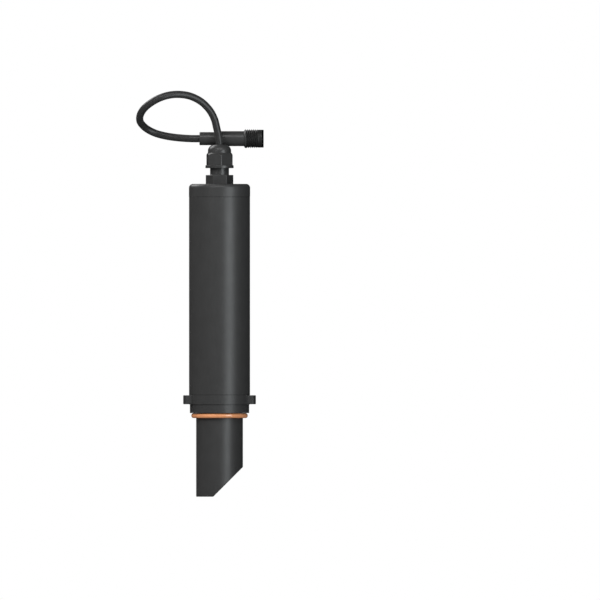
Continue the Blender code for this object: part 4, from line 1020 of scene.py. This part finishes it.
def make_gland_nut():
    """The domed nut: a turned blank. Its six flats stop above its flange and run out on its shoulder."""
    bottom = nut_low.z
    top = nut_high.z
    flat = NUT_HEX_FLATS / 2
    thread = GLAND_NECK_RADIUS + NUT_CLEARANCE
    mouth = CABLE_RADIUS + NUT_CLEARANCE
    thread_top = bottom + NUT_THREAD_HEIGHT
    flange_top = bottom + NUT_FLANGE_HEIGHT
    cone_top = bottom + NUT_FLANGE_CONE
    corner_top = bottom + NUT_CORNER_HEIGHT
    shoulder = bottom + NUT_SHOULDER_HEIGHT
    straight = hexagonal(NUT_HEX_FLATS, NUT_BLANK_RADIUS, NUT_HEX_TURN)
    flange = rounded_open(
        [
            (thread, bottom, 0),
            (NUT_BLANK_RADIUS, bottom, NUT_FLANGE_EDGE),
            (NUT_BLANK_RADIUS, flange_top, NUT_FLANGE_EDGE),
        ],
        (thread, thread_top),
        (flat, cone_top),
    )
    edge_radius, edge_top = flange[-1]
    middle = (bottom + flange_top) / 2
    rows = [(radius, height) for radius, height in flange if height < middle]
    rows += [(at_least(straight, radius), height) for radius, height in flange if height > middle]
    for step in range(1, CONE_STEPS + 1):
        share = step / CONE_STEPS
        radius = edge_radius + (flat - HEX_SOFTNESS - edge_radius) * share
        rows.append((at_least(straight, radius), edge_top + (cone_top - edge_top) * share))
    for step in range(SHOULDER_STEPS + 1):
        share = step / SHOULDER_STEPS
        blank = NUT_BLANK_RADIUS + (DOME_RADIUS - NUT_BLANK_RADIUS) * share
        flats = hexagonal(NUT_HEX_FLATS, blank, NUT_HEX_TURN)
        rows.append((flats, corner_top + (shoulder - corner_top) * share))
    rows += rounded_open(
        [
            (DOME_RADIUS, top, DOME_ROUNDING),
            (mouth, top, NUT_MOUTH_EDGE),
            (mouth, top - NUT_CONE_TOP, 0),
            (CLAW_POCKET, top - NUT_CONE_TOP, 0),
            (thread, thread_top, 0),
        ],
        (DOME_RADIUS, shoulder),
        (thread, bottom),
    )
    nut = add_mesh("gland_dome_nut", spun(rows, NUT_STEPS), "black_nylon")
    stand_for(nut, "black_nylon", "gland_nut")


make_body()
make_fitting_seal()
make_tip()
make_gland_body()
make_gland_nut()

# The solids that stay get their finish from the record's slots

slots = {part["node"]: part["material_slot"] for part in frame["record"]["subparts"]}
for name, node in frame["nodes"].items():
    if not node.hide_render:
        node.data.materials.clear()
        node.data.materials.append(MATERIALS[slots[name]])
        node.data.shade_smooth()
        node.data.set_sharp_from_angle(angle=CREASE_ANGLE)


def seen_through(nodes, links):
    """1 for what the camera sees straight or through glass, and 0 for the light that it throws. Glossy
    rays count as thrown light, because white all round turns the sides of black plastic pale."""
    path = nodes.new("ShaderNodeLightPath")
    either = nodes.new("ShaderNodeMath")
    either.operation = "MAXIMUM"
    links.new(path.outputs["Is Camera Ray"], either.inputs[0])
    links.new(path.outputs["Is Transmission Ray"], either.inputs[1])
    return either.outputs["Value"]


def make_floor():
    """A round floor under the tip that fades into the white background. It is pale where it is seen,
    and throws little light back up."""
    bm = bmesh.new()
    bmesh.ops.create_circle(bm, cap_ends=True, segments=FLOOR_STEPS, radius=FLOOR_RADIUS)
    mesh = to_mesh("floor", bm)
    material = bpy.data.materials.new("pale_floor")
    material.use_nodes = True
    nodes = material.node_tree.nodes
    links = material.node_tree.links
    shader = nodes["Principled BSDF"]
    shader.inputs["Roughness"].default_value = FLOOR_ROUGHNESS
    tone = nodes.new("ShaderNodeMapRange")
    tone.inputs["To Min"].default_value = FLOOR_THROWN
    tone.inputs["To Max"].default_value = FLOOR_SEEN
    place = nodes.new("ShaderNodeTexCoord")
    distance = nodes.new("ShaderNodeVectorMath")
    distance.operation = "LENGTH"
    fade = nodes.new("ShaderNodeMapRange")
    fade.interpolation_type = "SMOOTHSTEP"
    fade.inputs["From Min"].default_value = FLOOR_FADE_START
    fade.inputs["From Max"].default_value = FLOOR_RADIUS - FLOOR_MARGIN
    clear = nodes.new("ShaderNodeBsdfTransparent")
    mix = nodes.new("ShaderNodeMixShader")
    links.new(seen_through(nodes, links), tone.inputs["Value"])
    links.new(tone.outputs["Result"], shader.inputs["Base Color"])
    links.new(place.outputs["Object"], distance.inputs[0])
    links.new(distance.outputs["Value"], fade.inputs["Value"])
    links.new(fade.outputs["Result"], mix.inputs["Fac"])
    links.new(shader.outputs["BSDF"], mix.inputs[1])
    links.new(clear.outputs["BSDF"], mix.inputs[2])
    links.new(mix.outputs["Shader"], nodes["Material Output"].inputs["Surface"])
    mesh.materials.append(material)
    floor = bpy.data.objects.new("floor", mesh)
    floor.location = (0, 0, tip_low.z)
    floor.visible_glossy = False
    bpy.context.scene.collection.objects.link(floor)


def make_world():
    """White to the camera and through glass, and a dim grey for everything else."""
    world = bpy.data.worlds.new("studio")
    bpy.context.scene.world = world
    world.use_nodes = True
    nodes = world.node_tree.nodes
    links = world.node_tree.links
    ambient = nodes["Background"]
    ambient.inputs["Color"].default_value = (1, 1, 1, 1)
    ambient.inputs["Strength"].default_value = AMBIENT
    white = nodes.new("ShaderNodeBackground")
    white.inputs["Color"].default_value = (1, 1, 1, 1)
    mix = nodes.new("ShaderNodeMixShader")
    links.new(seen_through(nodes, links), mix.inputs["Fac"])
    links.new(ambient.outputs["Background"], mix.inputs[1])
    links.new(white.outputs["Background"], mix.inputs[2])
    links.new(mix.outputs["Shader"], nodes["World Output"].inputs["Surface"])


def make_lights():
    """Softboxes round the object. The fills light it and leave no reflection of their own."""
    for name, azimuth, elevation, distance, (width, height), power, tint, reflected in LIGHTS:
        data = bpy.data.lights.new(name, "AREA")
        data.shape = "RECTANGLE"
        data.size = width
        data.size_y = height
        data.energy = power
        data.color = tint
        light = bpy.data.objects.new(name, data)
        across, up = math.radians(azimuth), math.radians(elevation)
        way = Vector((math.sin(across) * math.cos(up), -math.cos(across) * math.cos(up), math.sin(up)))
        light.location = AIM + way * distance
        light.rotation_euler = way.to_track_quat("Z", "Y").to_euler()
        light.visible_glossy = reflected
        bpy.context.scene.collection.objects.link(light)


make_floor()
make_world()
make_lights()
bpy.context.scene.view_settings.view_transform = "Standard"
